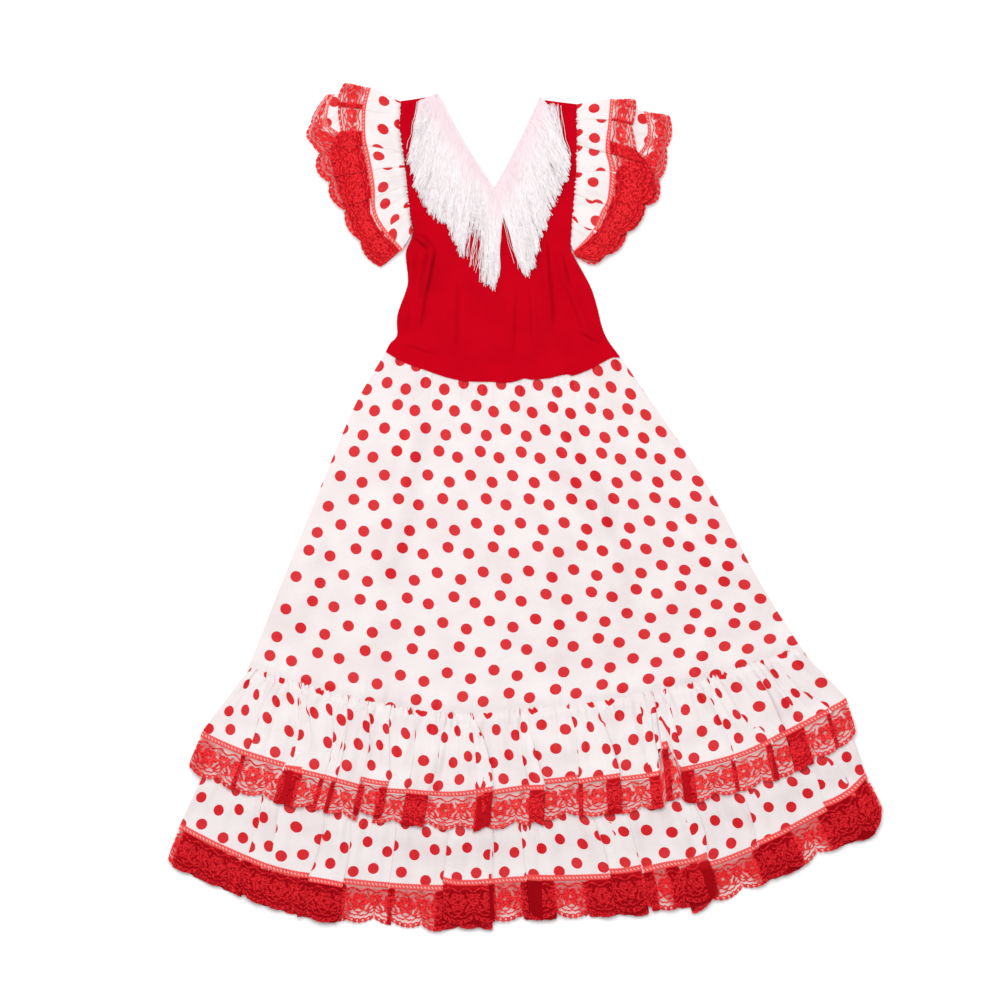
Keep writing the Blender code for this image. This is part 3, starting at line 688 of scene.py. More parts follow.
def geometry_tree(name, **inputs):
    """A Geometry Nodes tree with these inputs, given as kinds by name, and one output, Piece.
    Returns it with a function that adds a node and gives its outputs."""
    tree = bpy.data.node_groups.new(name, "GeometryNodeTree")
    for socket, kind in inputs.items():
        tree.interface.new_socket(socket, in_out="INPUT", socket_type="NodeSocket" + kind)
    tree.interface.new_socket("Piece", in_out="OUTPUT", socket_type="NodeSocketGeometry")

    def node(kind, links=None, **settings):
        family = "" if kind.startswith(("ShaderNode", "NodeGroup")) else "GeometryNode"
        return add_node(tree, family + kind, links, settings)

    return tree, node


def repeat_tree():
    """Repeats a flat unit along a strip and bends it over the strip's cloth coordinates."""
    tree, node = geometry_tree(
        "repeat_along_cloth", Strip="Geometry", Unit="Object", Repeats="Int", Pitch="Float",
        Stretch="Float", Lift="Float", Dense="Float", Length="Float", Finish="Material")
    given = node("NodeGroupInput")
    unit = node("ObjectInfo", {"Object": given["Unit"]})["Geometry"]
    step = node("ShaderNodeCombineXYZ", {"X": given["Pitch"]})[0]
    line = node("MeshLine", {"Count": given["Repeats"], "Offset": step})[0]
    fit = node("ShaderNodeCombineXYZ", {"X": given["Stretch"], "Y": 1.0, "Z": 1.0})[0]
    copies = node("InstanceOnPoints", {"Points": line, "Instance": unit, "Scale": fit})[0]
    real = node("RealizeInstances", {0: copies})[0]
    joined = node("MergeByDistance", {"Geometry": real, "Distance": NEAR})[0]
    place = node("InputPosition")[0]
    links = {"Geometry": joined, "Name": "cloth", "Value": place}
    flat = node("StoreNamedAttribute", links, data_type="FLOAT2", domain="CORNER")[0]
    links = {"Geometry": flat, "Name": "dense", "Value": given["Dense"]}
    marked = node("StoreNamedAttribute", links, data_type="FLOAT", domain="POINT")[0]
    x, y, z = node("ShaderNodeSeparateXYZ", {0: place})
    inside = node("ShaderNodeClamp", {"Value": x, "Min": NEAR, "Max": given["Length"]})[0]
    where = node("ShaderNodeCombineXYZ", {"X": inside, "Y": y})[0]
    cut = node("InputNamedAttribute", {"Name": "cloth"}, data_type="FLOAT_VECTOR")[0]
    found = []
    for kind in ("InputPosition", "InputNormal"):
        links = {"Mesh": given["Strip"], "Value": node(kind)[0], "Source UV Map": cut,
                 "Sample UV": where}
        found.append(node("SampleUVSurface", links, data_type="FLOAT_VECTOR")[0])
    height = node("ShaderNodeMath", {0: z, 1: given["Lift"]}, operation="ADD")[0]
    raised = node("ShaderNodeVectorMath", {0: found[1], "Scale": height}, operation="SCALE")[0]
    target = node("ShaderNodeVectorMath", {0: found[0], 1: raised}, operation="ADD")[0]
    bent = node("SetPosition", {"Geometry": marked, "Position": target})[0]
    dressed = node("SetMaterial", {"Geometry": bent, "Material": given["Finish"]})[0]
    smooth = node("SetShadeSmooth", {"Geometry": dressed})[0]
    node("NodeGroupOutput", {"Piece": smooth})
    return tree


REPEAT = repeat_tree()


def set_inputs(modifier, **values):
    """Sets a Geometry Nodes modifier's inputs by the names in its tree."""
    for item in modifier.node_group.interface.items_tree:
        if item.in_out == "INPUT" and item.name in values:
            modifier[item.identifier] = values[item.name]


def along(name, strip, length, unit, pitch, lift, dense, finish):
    """A mesh of the unit repeated along the strip, with its pitch made to fit the length."""
    obj = placed(name, strip.data)
    made = obj.modifiers.new("repeat", "NODES")
    made.node_group = REPEAT
    repeats = round(length / pitch)
    fitted = length / repeats
    set_inputs(made, Unit=unit, Repeats=repeats, Pitch=fitted, Stretch=fitted / pitch, Lift=lift,
               Dense=dense, Length=length - NEAR, Finish=finish)
    return plain_copy(obj)


def one_piece(name, objects):
    """Joins the meshes as one object."""
    with bpy.context.temp_override(active_object=objects[0], selected_editable_objects=objects):
        bpy.ops.object.join()
    objects[0].name = name
    return objects[0]


def turns(folds, length, seam_length, pinch):
    """The zigzag of the folds: cloth used, and place along the hem and the seam, at each turn. At
    the seam the folds die into even gathers, and only this pinch of their depth is left."""
    shifts = [(0, -f.tuck) if f.faces > 0 else (f.tuck, 0) for f in folds]
    hem = [0.0] + [f.hem * length + s for f, pair in zip(folds, shifts) for s in pair] + [length]
    used = np.concatenate([[0], np.cumsum(np.abs(np.diff(hem)))])
    middles = [0, *(used[1:-1:2] + used[2:-1:2]) / 2, used[-1]]
    even = np.interp(used, middles, [0, *(f.seam * seam_length for f in folds), seam_length])
    folded = [f.seam * seam_length + s for f, pair in zip(folds, shifts) for s in pair]
    folded = np.array([0.0] + folded + [seam_length])
    return used, np.array(hem) / length, ((1 - pinch) * even + pinch * folded) / seam_length


def rounding(look):
    """Over how many columns to each side the turns of the folds are rounded off."""
    return max(1, round(0.003 / look.step))


def smoothed(values, cells):
    """Rounds off the turns of rows of values."""
    kernel = np.hanning(2 * cells + 3)[1:-1]
    kernel /= kernel.sum()
    margins = [(0, 0)] * (values.ndim - 1) + [(cells, cells)]
    padded = np.pad(values, margins, mode="reflect", reflect_type="odd")
    return np.apply_along_axis(lambda row: np.convolve(row, kernel, "valid"), -1, padded)


def fold_rise(u, folds, used, loft, reach=0.030):
    """Height of the layers of the folds at these places on the cloth, at the hem."""
    rise = np.zeros(len(u))
    for k, f in enumerate(folds):
        crest = used[2 * k + 1] if f.faces > 0 else used[2 * k + 2]
        out = (u - crest) * f.faces
        lift = FOLD_GAP + loft * (0.0010 + 0.05 * f.tuck)
        flap = (FOLD_GAP + lift) * (1 - ease((-out - 0.5 * f.tuck) / (0.5 * f.tuck + reach)))
        middle = FOLD_GAP + lift * (1 - ease(1.5 * out / f.tuck))
        rise += np.where(out <= 0, flap, np.where(out < f.tuck, middle, 0))
    return rise


def hem_step(u, folds, used):
    """How much lower the hem runs on each side of the folds."""
    drop = np.zeros(len(u))
    for k, f in enumerate(folds):
        first, second = used[2 * k + 1], used[2 * k + 2]
        across = np.clip((u - first) / (second - first), 0, 1) - 0.5
        away = np.maximum(0, np.maximum(first - u, u - second))
        drop += f.step * across * np.exp(-away / 0.02)
    return drop


def gathers(places, t, seed, pitch):
    """Puckers of the gathering: rounded ridges between tight valleys, which die out from the seam.
    places are along the seam, in metres, for each row and column of the cloth. Returns how high
    they stand, and which way the cloth is drawn into the valleys, from -1 to 1."""
    phase = places / pitch + 0.35 * ripples(places, 4 * pitch, seed)
    ridge = np.abs(np.sin(math.pi * phase)) ** 0.7
    ridge = ridge * (0.7 + 0.3 * ripples(places, 3 * pitch, seed + 2))
    reach = np.maximum(0.40 + 0.34 * ripples(places, 2.2 * pitch, seed + 1), 0.15)
    fade = (1 - ease(t[:, None] / reach)) ** 1.1
    pinned = 0.2 + 0.8 * ease(t[:, None] / 0.10)
    return fade * pinned * ridge, -fade * np.sin(2 * math.pi * phase)


Look = namedtuple("Look", "seed step gather_pitch gather_depth wave wave_depth rows bow loft pinch "
                          "layers sink flare", defaults=(0.0, 0.0))
# step, rows: spacing of the columns of the cloth and number of its rows; gather, wave: length and
# height of the puckers and of the broad waves; bow: how far a fold line bends aside; loft: how
# high the folds stand; pinch: share of their depth that is left at the seam; layers: of lace that
# still deepen its painted shade; sink: how far the seam draws the edge down; flare: how much more
# the threads lean at the end of the strip than at its start.


def laid_places(folds, look, lengths, zigzag, u, t):
    """Where the cloth lies, as shares of the way along the seam and the hem, for its rows t and
    columns u: the zigzag of the folds, and gathers that draw it into their valleys. Returns the
    height of their puckers too."""
    length, seam_length = lengths
    used, hem_turns, seam_turns = zigzag
    down = np.minimum(t, 1)
    opened = 1 - (1 - down) ** 1.8
    turned = seam_turns + opened[:, None] * (hem_turns - seam_turns)
    bows = np.random.default_rng(look.seed).uniform(-1, 1, len(folds))
    bows = np.repeat(bows, 2) * look.bow / length
    turned[:, 1:-1] += np.maximum(0, 4 * t * (1 - t))[:, None] * bows
    places = smoothed(np.array([np.interp(u, used, row) for row in turned]), rounding(look))
    puckers, drawn = gathers(places * seam_length, t, look.seed + 7, look.gather_pitch)
    reaches = (1 - down) * seam_length + down * length
    packed = np.abs(np.gradient(places, look.step, axis=1)) * reaches[:, None]
    drawn = drawn * np.clip(1 / (packed + 0.1) - 1, 0, 0.85)
    return np.clip(places + drawn * look.gather_pitch / (2 * math.pi) / seam_length, 0, 1), puckers


def hem_drops(step, last, hitches):
    """How much lower than their lines the hem and the edge of the lace run, with the hitches."""
    hem, edge = step, step
    for h in hitches:
        lifted = h.rise * ease((last - h.start) / h.blend) * ease((h.end - last) / h.blend)
        hem = hem - lifted
        edge = edge - h.edge * lifted
    return hem, edge


def hem_lace(name, tier, look, thread, u, last, height, drops):
    """The lace, which goes on from the hem of the satin at this height, and its zigzag stitches.
    Each column of it lies at the place last along the hem and the edge, lower by the two drops."""
    e = np.linspace(0, 1.045, 15)  # a little past the lowest scallop
    start, end = smooth_line(tier.hem, last), smooth_line(tier.edge, last)
    way = (end - start) / np.linalg.norm(end - start, axis=1)[:, None]
    drift = drops[0][None] + np.minimum(e, 1)[:, None] * (drops[1] - drops[0])[None]
    xy = start[None] + (end - start)[None] * e[:, None, None] + way[None] * drift[..., None]
    flutter = 0.0004 * ripples(u, 0.020, look.seed + 11)
    forms = height[None] + (flutter - flutter.min())[None] * ease(e)[:, None]
    laid = np.dstack([xy, PILE.rest(xy) + (forms + SATIN_WALL + LAYER_GAP)])
    cut = np.stack(np.broadcast_arrays(u[None], e[:, None] * LACE_WIDTH), axis=-1)
    strip = cloth(name + "_strip", [laid], [cut], 0, LACE)
    parts = [
        along("net", strip, u[-1], LACE_GROUND, LACE_REPEAT, 0.0, 0.0, LACE),
        along("worked", strip, u[-1], thread, LACE_REPEAT, 0.0002, 1.0, LACE),
    ]
    lace = one_piece(name + "_net", parts)
    LACE_LAYERS.add(xy)
    LACE_LAYERS.mark(lace, look.layers)
    stitches = along(name + "_stitches", strip, u[-1], STITCH, STITCH_PITCH, 0.0003, 1.0, THREAD)
    bpy.data.objects.remove(strip)
    return lace, stitches


def ruffle(name, lace_name, tier, folds, look, thread, hitches=()):
    """A gathered ruffle with the lace on its hem, folded as the table of folds says, and hitched
    up a little over the stretches of the hem that hitches names."""
    lengths = length_of(tier.hem), length_of(tier.seam)
    zigzag = turns(folds, *lengths, look.pinch)
    used = zigzag[0]
    total = used[-1]
    u = np.linspace(0, total, round(total / look.step))
    over = UNDERLAP / length_between(tier.seam, tier.hem)
    t = np.append(np.linspace(0, 1, look.rows) ** 1.25, [1 + 0.5 * over, 1 + over])
    places, puckers = laid_places(folds, look, lengths, zigzag, u, t)
    last = places[-1]
    rise = smoothed(fold_rise(u, folds, used, look.loft), rounding(look))
    drops = hem_drops(smoothed(hem_step(u, folds, used), rounding(look)), last, hitches)
    waves = ripples(u, look.wave, look.seed) + 0.5 * ripples(u, 0.4 * look.wave, look.seed + 3)
    waves = look.wave_depth * (waves - waves.min())
    # the plan: from a ragged seam to the hem, and on under the lace except at both ends
    top = np.array([smooth_line(tier.seam, row) for row in places])
    bottom = np.array([smooth_line(tier.hem, row) for row in places])
    tall = np.linalg.norm(bottom[-1] - top[-1], axis=1)
    way = (bottom - top) / (np.linalg.norm(bottom - top, axis=2)[..., None] + 1e-9)
    ragged = look.gather_depth * 0.5 * ripples(u, 0.7 * look.gather_pitch, look.seed + 5)
    drift = drops[0][None] * ease(t)[:, None] + ragged[None] * (1 - ease(t / 0.12))[:, None]
    xy = top + (bottom - top) * t[:, None, None] + way * drift[..., None]
    inside = 0.1 + 0.9 * ease(np.minimum(last, 1 - last) * lengths[0] / 0.012)
    xy[-2:] = xy[-3] + (xy[-2:] - xy[-3]) * inside[:, None]
    # the heights: folds and waves grow towards the hem, and gathers die out from the seam
    near = ease(t / 0.15)[:, None]
    base = (1 - near) * PILE.rest(xy, 0.002) + near * PILE.rest(xy)
    grow = 0.10 + 0.90 * ease(1.15 * t)
    calm = 1 - (1 - HEM_WAVES) * ease((t - 0.45) / 0.5)
    forms = rise[None] * grow[:, None] + waves[None] * (grow * calm)[:, None]
    forms = forms + look.gather_depth * puckers - look.sink * (1 - ease(t / 0.06))[:, None]
    # a strip that widens towards its hem is cut with slanted ends, and its threads lean with them
    lean = look.flare * (u / total - 0.5)
    away = t[:, None] * tall
    cut = np.stack([u + away * lean, away * np.sqrt(1 - lean**2)], axis=-1)
    satin = cloth(name + "_cloth", [np.dstack([xy, base + forms])], [cut], SATIN_WALL, SATIN)
    LACE_LAYERS.cover(xy)
    height = rise + HEM_WAVES * waves
    lace, stitches = hem_lace(lace_name, tier, look, thread, u, last, height, drops)
    sewn_in(satin, "dotted_satin", name)
    sewn_in(lace, "red_lace", lace_name)
    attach(stitches, "root")
    cut_area(cut)
    return satin, lace


def settle(*objects):
    """Adds pieces to the pile, once all of their layer has been laid."""
    for obj in objects:
        PILE.add(obj)


UPPER = Tier(UPPER_SEAM, UPPER_HEM, UPPER_EDGE)
UPPER_FLARE = 0.46
BACK_FOLDS = [Fold(s, s, -1, 0.010) for s in (0.08, 0.19, 0.30, 0.41, 0.52, 0.63, 0.74, 0.86)]
BACK_LOOK = Look(seed=20, step=0.005, gather_pitch=0.010, gather_depth=0.0008, wave=0.050,
                 wave_depth=0.0005, rows=12, bow=0.002, loft=0.3, pinch=0.6, layers=6)
settle(*ruffle("upper_ruffle_back", "upper_lace_back", UPPER, BACK_FOLDS,
               BACK_LOOK._replace(flare=UPPER_FLARE), BACK_THREAD))

# ================================================================ skirt, back
# A flared panel of the dotted satin, gathered a little into the waist seam of the bodice. At its
# lower end the lower ruffle is sewn to it, and higher up the upper ruffle is sewn onto it.

SKIRT_LEFT = [(-0.139, 0.156), (-0.170, 0.102), (-0.204, 0.021), (-0.250, -0.093),
              (-0.303, -0.228)]
SKIRT_RIGHT = [(0.095, 0.1505), (0.163, 0.052), (0.194, 0.001), (0.241, -0.086), (0.315, -0.200)]
LOWER_SEAM = [(-0.303, -0.228), (-0.189, -0.262), (-0.070, -0.277), (0.046, -0.265),
              (0.207, -0.242), (0.315, -0.200)]
# How the hang of the skirt pulls its cloth: coordinates on the flat cloth, in metres, as sums of
# 1, x, y, xx, xy, yy, xxx, xxy, xyy and yyy, for places counted in steps of 0.2 m.
SKIRT_PULL = np.array([
    (39.0, 40.6), (208.6, 0.0), (36.8, 206.6), (5.5, -1.9), (41.6, 13.4), (3.2, 8.1), (-0.6, -3.4),
    (5.8, 6.8), (26.7, -5.3), (-9.7, 4.3)]) / 1000


def skirt_panel(rows, columns):
    """Points of the panel, from the waist to the seam of the lower ruffle."""
    t = np.linspace(0, 1, rows)
    shares = np.linspace(0, 1, columns)
    left, right = smooth_line(SKIRT_LEFT, t), smooth_line(SKIRT_RIGHT, t)
    straight = left[:, None] + shares[None, :, None] * (right - left)[:, None]
    top, bottom = smooth_line(WAIST, shares), smooth_line(LOWER_SEAM, shares)
    grid = straight + (1 - t)[:, None, None] ** 3 * (top - straight[0])[None]
    return grid + t[:, None, None] ** 2 * (bottom - straight[-1])[None]


def pulled(xy):
    """Where these points of the skirt were on the flat cloth."""
    x, y = xy[..., 0] / 0.2, xy[..., 1] / 0.2
    terms = [x**0, x, y, x * x, x * y, y * y, x**3, x * x * y, x * y * y, y**3]
    return np.tensordot(np.stack(terms, axis=-1), SKIRT_PULL, axes=1)


def skirt(name, rises, rows, columns):
    xy = skirt_panel(rows, columns)
    cut = pulled(xy)
    laid = np.dstack([xy, PILE.rest(xy) + rises(xy)])
    obj = cloth(name + "_cloth", [laid], [cut], SATIN_WALL, SATIN, pull(xy, cut))
    sewn_in(obj, "dotted_satin", name)
    return obj, cut_area(cut)


def back_rise(xy):
    return 0.0004 + 0.0004 * rumple(xy, 0.09, 5)


skirt_back, skirt_area = skirt("skirt_back", back_rise, 60, 60)

# ================================================================ lower hem ruffle, back
# The same dotted satin and lace, sewn to the lower end of the skirt, so that it shows below the
# upper ruffle.

LOWER_HEM = [(-0.344, -0.316), (-0.301, -0.338), (-0.242, -0.361), (-0.181, -0.371),
             (-0.089, -0.377), (-0.010, -0.369), (0.074, -0.366), (0.138, -0.355), (0.195, -0.35),
             (0.250, -0.326), (0.314, -0.289), (0.340, -0.266)]
LOWER_EDGE = [(-0.3597, -0.358), (-0.301, -0.384), (-0.227, -0.410), (-0.130, -0.420),
              (-0.092, -0.4252), (-0.023, -0.416), (0.056, -0.412), (0.115, -0.408),
              (0.186, -0.397), (0.258, -0.370), (0.306, -0.345), (0.348, -0.328), (0.3603, -0.306)]
LOWER = Tier(LOWER_SEAM, LOWER_HEM, LOWER_EDGE)
LOWER_BACK_FOLDS = [Fold(*row) for row in (
    (0.005, 0.006, -1, 0.066), (0.060, 0.093, -1, 0.064), (0.130, 0.176, -1, 0.052),
    (0.345, 0.366, -1, 0.058), (0.476, 0.484, -1, 0.030), (0.573, 0.570, -1, 0.054),
    (0.707, 0.686, -1, 0.034), (0.842, 0.806, -1, 0.040), (0.930, 0.909, -1, 0.044),
    (0.985, 0.974, -1, 0.017))]
LOWER_BACK_HITCHES = [Hitch(start, end, rise=0.021, edge=1.0, blend=0.016) for start, end in (
    (0.248, 0.360), (0.450, 0.484), (0.528, 0.568), (0.650, 0.688), (0.736, 0.804), (0.864, 0.908))]
lower_back = ruffle("lower_ruffle_back", "lower_lace_back", LOWER, LOWER_BACK_FOLDS,
                    BACK_LOOK._replace(seed=40, step=0.004), BACK_THREAD, LOWER_BACK_HITCHES)
settle(bodice_back, skirt_back, *lower_back)

# ================================================================ sleeves, back
# Flutter sleeves in two tiers of the dotted satin, gathered into the armhole, each ending in the
# red lace. The backs lie flat under the fronts and stop a little short of them.

LEFT_ARMHOLE = [(-0.1248, 0.4058), (-0.1253, 0.378), (-0.1198, 0.335), (-0.1163, 0.298),
                (-0.1123, 0.2755)]
LEFT_TOP = Tier(
    LEFT_ARMHOLE,
    [(-0.154, 0.419), (-0.159, 0.397), (-0.159, 0.370), (-0.155, 0.351), (-0.150, 0.322),
     (-0.149, 0.297), (-0.140, 0.279), (-0.122, 0.258)],
    [(-0.185, 0.4258), (-0.188, 0.403), (-0.187, 0.379), (-0.194, 0.357), (-0.190, 0.329),
     (-0.180, 0.299), (-0.167, 0.267), (-0.146, 0.239)])
LEFT_UNDER = Tier(
    LEFT_ARMHOLE,
    [(-0.1905, 0.4130), (-0.1965, 0.398), (-0.194, 0.380), (-0.163, 0.363), (-0.148, 0.340),
     (-0.143, 0.310), (-0.136, 0.283), (-0.121, 0.259)],
    [(-0.2000, 0.4125), (-0.220, 0.377), (-0.2125, 0.359), (-0.2105, 0.340), (-0.203, 0.320),
     (-0.191, 0.302), (-0.182, 0.285), (-0.168, 0.261), (-0.148, 0.236)])
RIGHT_ARMHOLE = [(0.0518, 0.4028), (0.0523, 0.389), (0.0518, 0.338), (0.0488, 0.300),
                 (0.0458, 0.2615)]
RIGHT_TOP = Tier(
    RIGHT_ARMHOLE,
    [(0.085, 0.408), (0.083, 0.384), (0.080, 0.358), (0.084, 0.337), (0.082, 0.308),
     (0.076, 0.296), (0.067, 0.276), (0.049, 0.256)],
    [(0.115, 0.408), (0.109, 0.380), (0.114, 0.355), (0.127, 0.337), (0.131, 0.317),
     (0.125, 0.300), (0.111, 0.282), (0.095, 0.263), (0.074, 0.246), (0.052, 0.250)])
RIGHT_UNDER = Tier(
    RIGHT_ARMHOLE,
    [(0.1185, 0.3960), (0.1225, 0.376), (0.115, 0.356), (0.088, 0.338), (0.080, 0.312),
     (0.072, 0.292), (0.062, 0.274), (0.047, 0.257)],
    [(0.149, 0.3915), (0.146, 0.361), (0.141, 0.337), (0.138, 0.321), (0.132, 0.301),
     (0.118, 0.287), (0.107, 0.271), (0.087, 0.250), (0.068, 0.2415), (0.051, 0.249)])
SLEEVES = {"left": (LEFT_TOP, LEFT_UNDER), "right": (RIGHT_TOP, RIGHT_UNDER)}
SLEEVE_BACK_FOLDS = [Fold(s, s, +1, 0.001) for s in (0.2, 0.42, 0.64, 0.86)]
SLEEVE_BACK_LOOK = Look(seed=60, step=0.004, gather_pitch=0.009, gather_depth=0.0005, wave=0.040,
                        wave_depth=0.0003, rows=7, bow=0.001, loft=0.5, pinch=0.3, layers=3)
BACK_SHARE = 0.965


def shrunk(tier, share):
    """A tier whose hem and lace stop short of the front's."""
    inner = smooth_line(tier.seam, np.linspace(0, 1, 9))
    lines = []
    for line in (tier.hem, tier.edge):
        points = smooth_line(line, np.linspace(0, 1, 9))
        lines.append([tuple(p) for p in inner + share * (points - inner)])
    return Tier(tier.seam, *lines)


for side, tiers in SLEEVES.items():
    for level, tier in zip(("top", "under"), tiers):
        name = f"{side}_sleeve_{level}_back"
        settle(*ruffle(name, name + "_lace", shrunk(tier, BACK_SHARE), SLEEVE_BACK_FOLDS,
                       SLEEVE_BACK_LOOK, BACK_THREAD))

# ================================================================ skirt, front
# The front panel of the dotted satin. It hangs from the waist in long soft ridges and puckers a
# little at the gathered waist seam and above the ruffle that is sewn onto it.

Crease = namedtuple("Crease", "x0 y0 x1 y1 width rise steep", defaults=(0,))
# steep: +1 or -1 where the left or the right side of the ridge, seen along it, falls off sharply
SKIRT_CREASES = [Crease(*row) for row in (
    (0.012, 0.120, 0.088, -0.040, 0.013, 0.0045), (0.056, 0.060, 0.104, -0.110, 0.012, 0.0033),
    (-0.108, 0.100, -0.140, -0.080, 0.012, 0.0036), (0.148, -0.012, 0.212, -0.080, 0.011, 0.0036),
    (0.190, -0.100, 0.172, -0.165, 0.010, 0.0027),
    (-0.200, -0.010, -0.245, -0.140, 0.015, 0.0030),
    (0.010, -0.020, 0.030, -0.180, 0.014, 0.0027))]


def crease_rise(xy, creases):
    """Height of soft ridges, rounded off over their width and at both ends."""
    rise = np.zeros(xy.shape[:-1])
    for c in creases:
        start, way = np.array([c.x0, c.y0]), np.array([c.x1 - c.x0, c.y1 - c.y0])
        length = np.linalg.norm(way)
        at = ((xy - start) @ way) / length
        across = (xy - start) @ np.array([-way[1], way[0]]) / length
        end = ease(at / (3 * c.width)) * ease((length - at) / (3 * c.width))
        width = c.width * np.where(across * c.steep > 0, 0.35, 1)
        rise += c.rise * end * np.exp(-((across / width) ** 2))
    return rise


def skirt_rise(xy):
    """Ridges, broad waves that fan out from the waist, and puckers along both seams."""
    fan = np.arctan2(xy[..., 0] + 0.025, 0.62 - xy[..., 1])
    waves = 0.0010 * (1 + ripples(fan, 0.16, 51)) + 0.0003 * ripples(fan, 0.05, 52)
    below_waist = y_on(WAIST, xy[..., 0]) - xy[..., 1]
    above_seam = xy[..., 1] - y_on(UPPER_SEAM, xy[..., 0])
    puckers = 0.0007 * (1 + ripples(fan, 0.022, 53)) * (1 - ease(below_waist / 0.035))
    sewn_flat = 0.2 + 0.8 * ease(np.abs(above_seam) / 0.008)
    beside_seam = sewn_flat * (1 - ease(np.abs(above_seam) / 0.034))
    puckers += 0.0013 * (1 + ripples(fan, 0.018, 54)) * beside_seam
    return crease_rise(xy, SKIRT_CREASES) + waves + puckers + 0.0002 * rumple(xy, 0.05, 55)


skirt_front, skirt_area = skirt("skirt_front", skirt_rise, 170, 150)
settle(skirt_front)

# ================================================================ bodice, front
# The front halves of the red jersey, laid over the back ones. The knit is soft, so it lies in
# shallow folds at the underarms and from the bust to the waist.

BODICE_CREASES = [Crease(*row) for row in (
    (-0.114, 0.274, -0.091, 0.256, 0.0050, 0.0085, -1),
    (-0.091, 0.264, -0.102, 0.206, 0.0064, 0.0105, +1),
    (-0.116, 0.262, -0.112, 0.214, 0.0060, 0.0045, -1),
    (-0.100, 0.222, -0.107, 0.176, 0.0060, 0.0040, +1),
    (-0.120, 0.206, -0.123, 0.172, 0.0060, 0.0036, -1),
    (-0.128, 0.168, -0.084, 0.152, 0.0060, 0.0034, -1),
    (0.018, 0.276, 0.027, 0.172, 0.0090, 0.0052, +1),
    (0.032, 0.266, 0.044, 0.214, 0.0070, 0.0044, +1),
    (0.040, 0.230, 0.064, 0.168, 0.0070, 0.0034, -1),
    (-0.012, 0.222, -0.014, 0.145, 0.0080, 0.0026, +1),
    (0.006, 0.236, 0.010, 0.150, 0.0080, 0.0030, -1),
    (-0.070, 0.238, -0.072, 0.148, 0.0090, 0.0026, +1),
    (0.050, 0.180, 0.082, 0.162, 0.0050, 0.0030, -1))]


def bodice_rise(xy):
    return crease_rise(xy, BODICE_CREASES) + 0.0005 * (1 + rumple(xy * (1, 0.35), 0.030, 31))


bodice_front, bodice_area = bodice("bodice_front", bodice_rise, 170, 80, 0.0012)

# ================================================================ lower hem ruffle, front
# The gathered strip of dotted satin that shows below the upper ruffle, laid in deep folds, with
# the red lace on its hem.

LOWER_FOLDS = [Fold(*row) for row in (
    (0.062, 0.100, -1, 0.008), (0.105, 0.134, -1, 0.006), (0.170, 0.195, +1, 0.008, 0.004),
    (0.217, 0.243, +1, 0.045, -0.008), (0.288, 0.302, -1, 0.008),
    (0.356, 0.376, -1, 0.052, -0.017), (0.430, 0.440, -1, 0.008),
    (0.478, 0.492, -1, 0.030, -0.003), (0.545, 0.608, -1, 0.034, -0.008),
    (0.640, 0.654, -1, 0.012, 0.004), (0.712, 0.752, +1, 0.034, 0.018),
    (0.790, 0.819, -1, 0.038, -0.004), (0.905, 0.925, -1, 0.038, -0.009))]
FRONT_LOOK = Look(
    seed=81, step=0.0020, gather_pitch=0.0095, gather_depth=0.0034, wave=0.040, wave_depth=0.0021,
    rows=26, bow=0.006, loft=0.3, pinch=0.45, layers=6, sink=0.0016)
lower_front = ruffle("lower_ruffle_front", "lower_lace_front", LOWER, LOWER_FOLDS, FRONT_LOOK,
                     LACE_THREAD)
settle(bodice_front, *lower_front)

# ================================================================ sleeves, front
# The fronts of the two tiers of each sleeve. The lower tier is the longer one and goes on first,
# so that its lace shows past the upper tier, and some of its satin at the shoulder.

SLEEVE_FOLDS = {
    "left": [Fold(*row) for row in (
        (0.10, 0.14, +1, 0.008), (0.42, 0.35, +1, 0.018), (0.52, 0.50, +1, 0.005),
        (0.68, 0.66, +1, 0.014), (0.84, 0.84, -1, 0.006))],
    "right": [Fold(*row) for row in (
        (0.14, 0.14, +1, 0.006), (0.32, 0.34, +1, 0.017), (0.47, 0.44, -1, 0.006),
        (0.64, 0.66, +1, 0.014), (0.80, 0.82, -1, 0.008))],
}
SLEEVE_SEED = 120
SLEEVE_LOOK = Look(
    seed=SLEEVE_SEED, step=0.0018, gather_pitch=0.0085, gather_depth=0.0020, wave=0.030,
    wave_depth=0.0008, rows=14, bow=0.002, loft=0.3, pinch=0.4, layers=2.5, sink=0.0010)
for side, (top, under) in SLEEVES.items():
    for level, tier, tucks in (("under", under, 0.1), ("top", top, 1.0)):
        name = f"{side}_sleeve_{level}_front"
        folds = [f._replace(tuck=f.tuck * tucks) for f in SLEEVE_FOLDS[side]]
        look = SLEEVE_LOOK._replace(seed=SLEEVE_SEED + len(name))
        settle(*ruffle(name, name + "_lace", tier, folds, look, LACE_THREAD))

# ================================================================ upper hem ruffle, front
# The strip that hangs over the lower ruffle. Its folds stand up where the gathers bunch, most of
# all at the double pinch right of the middle.

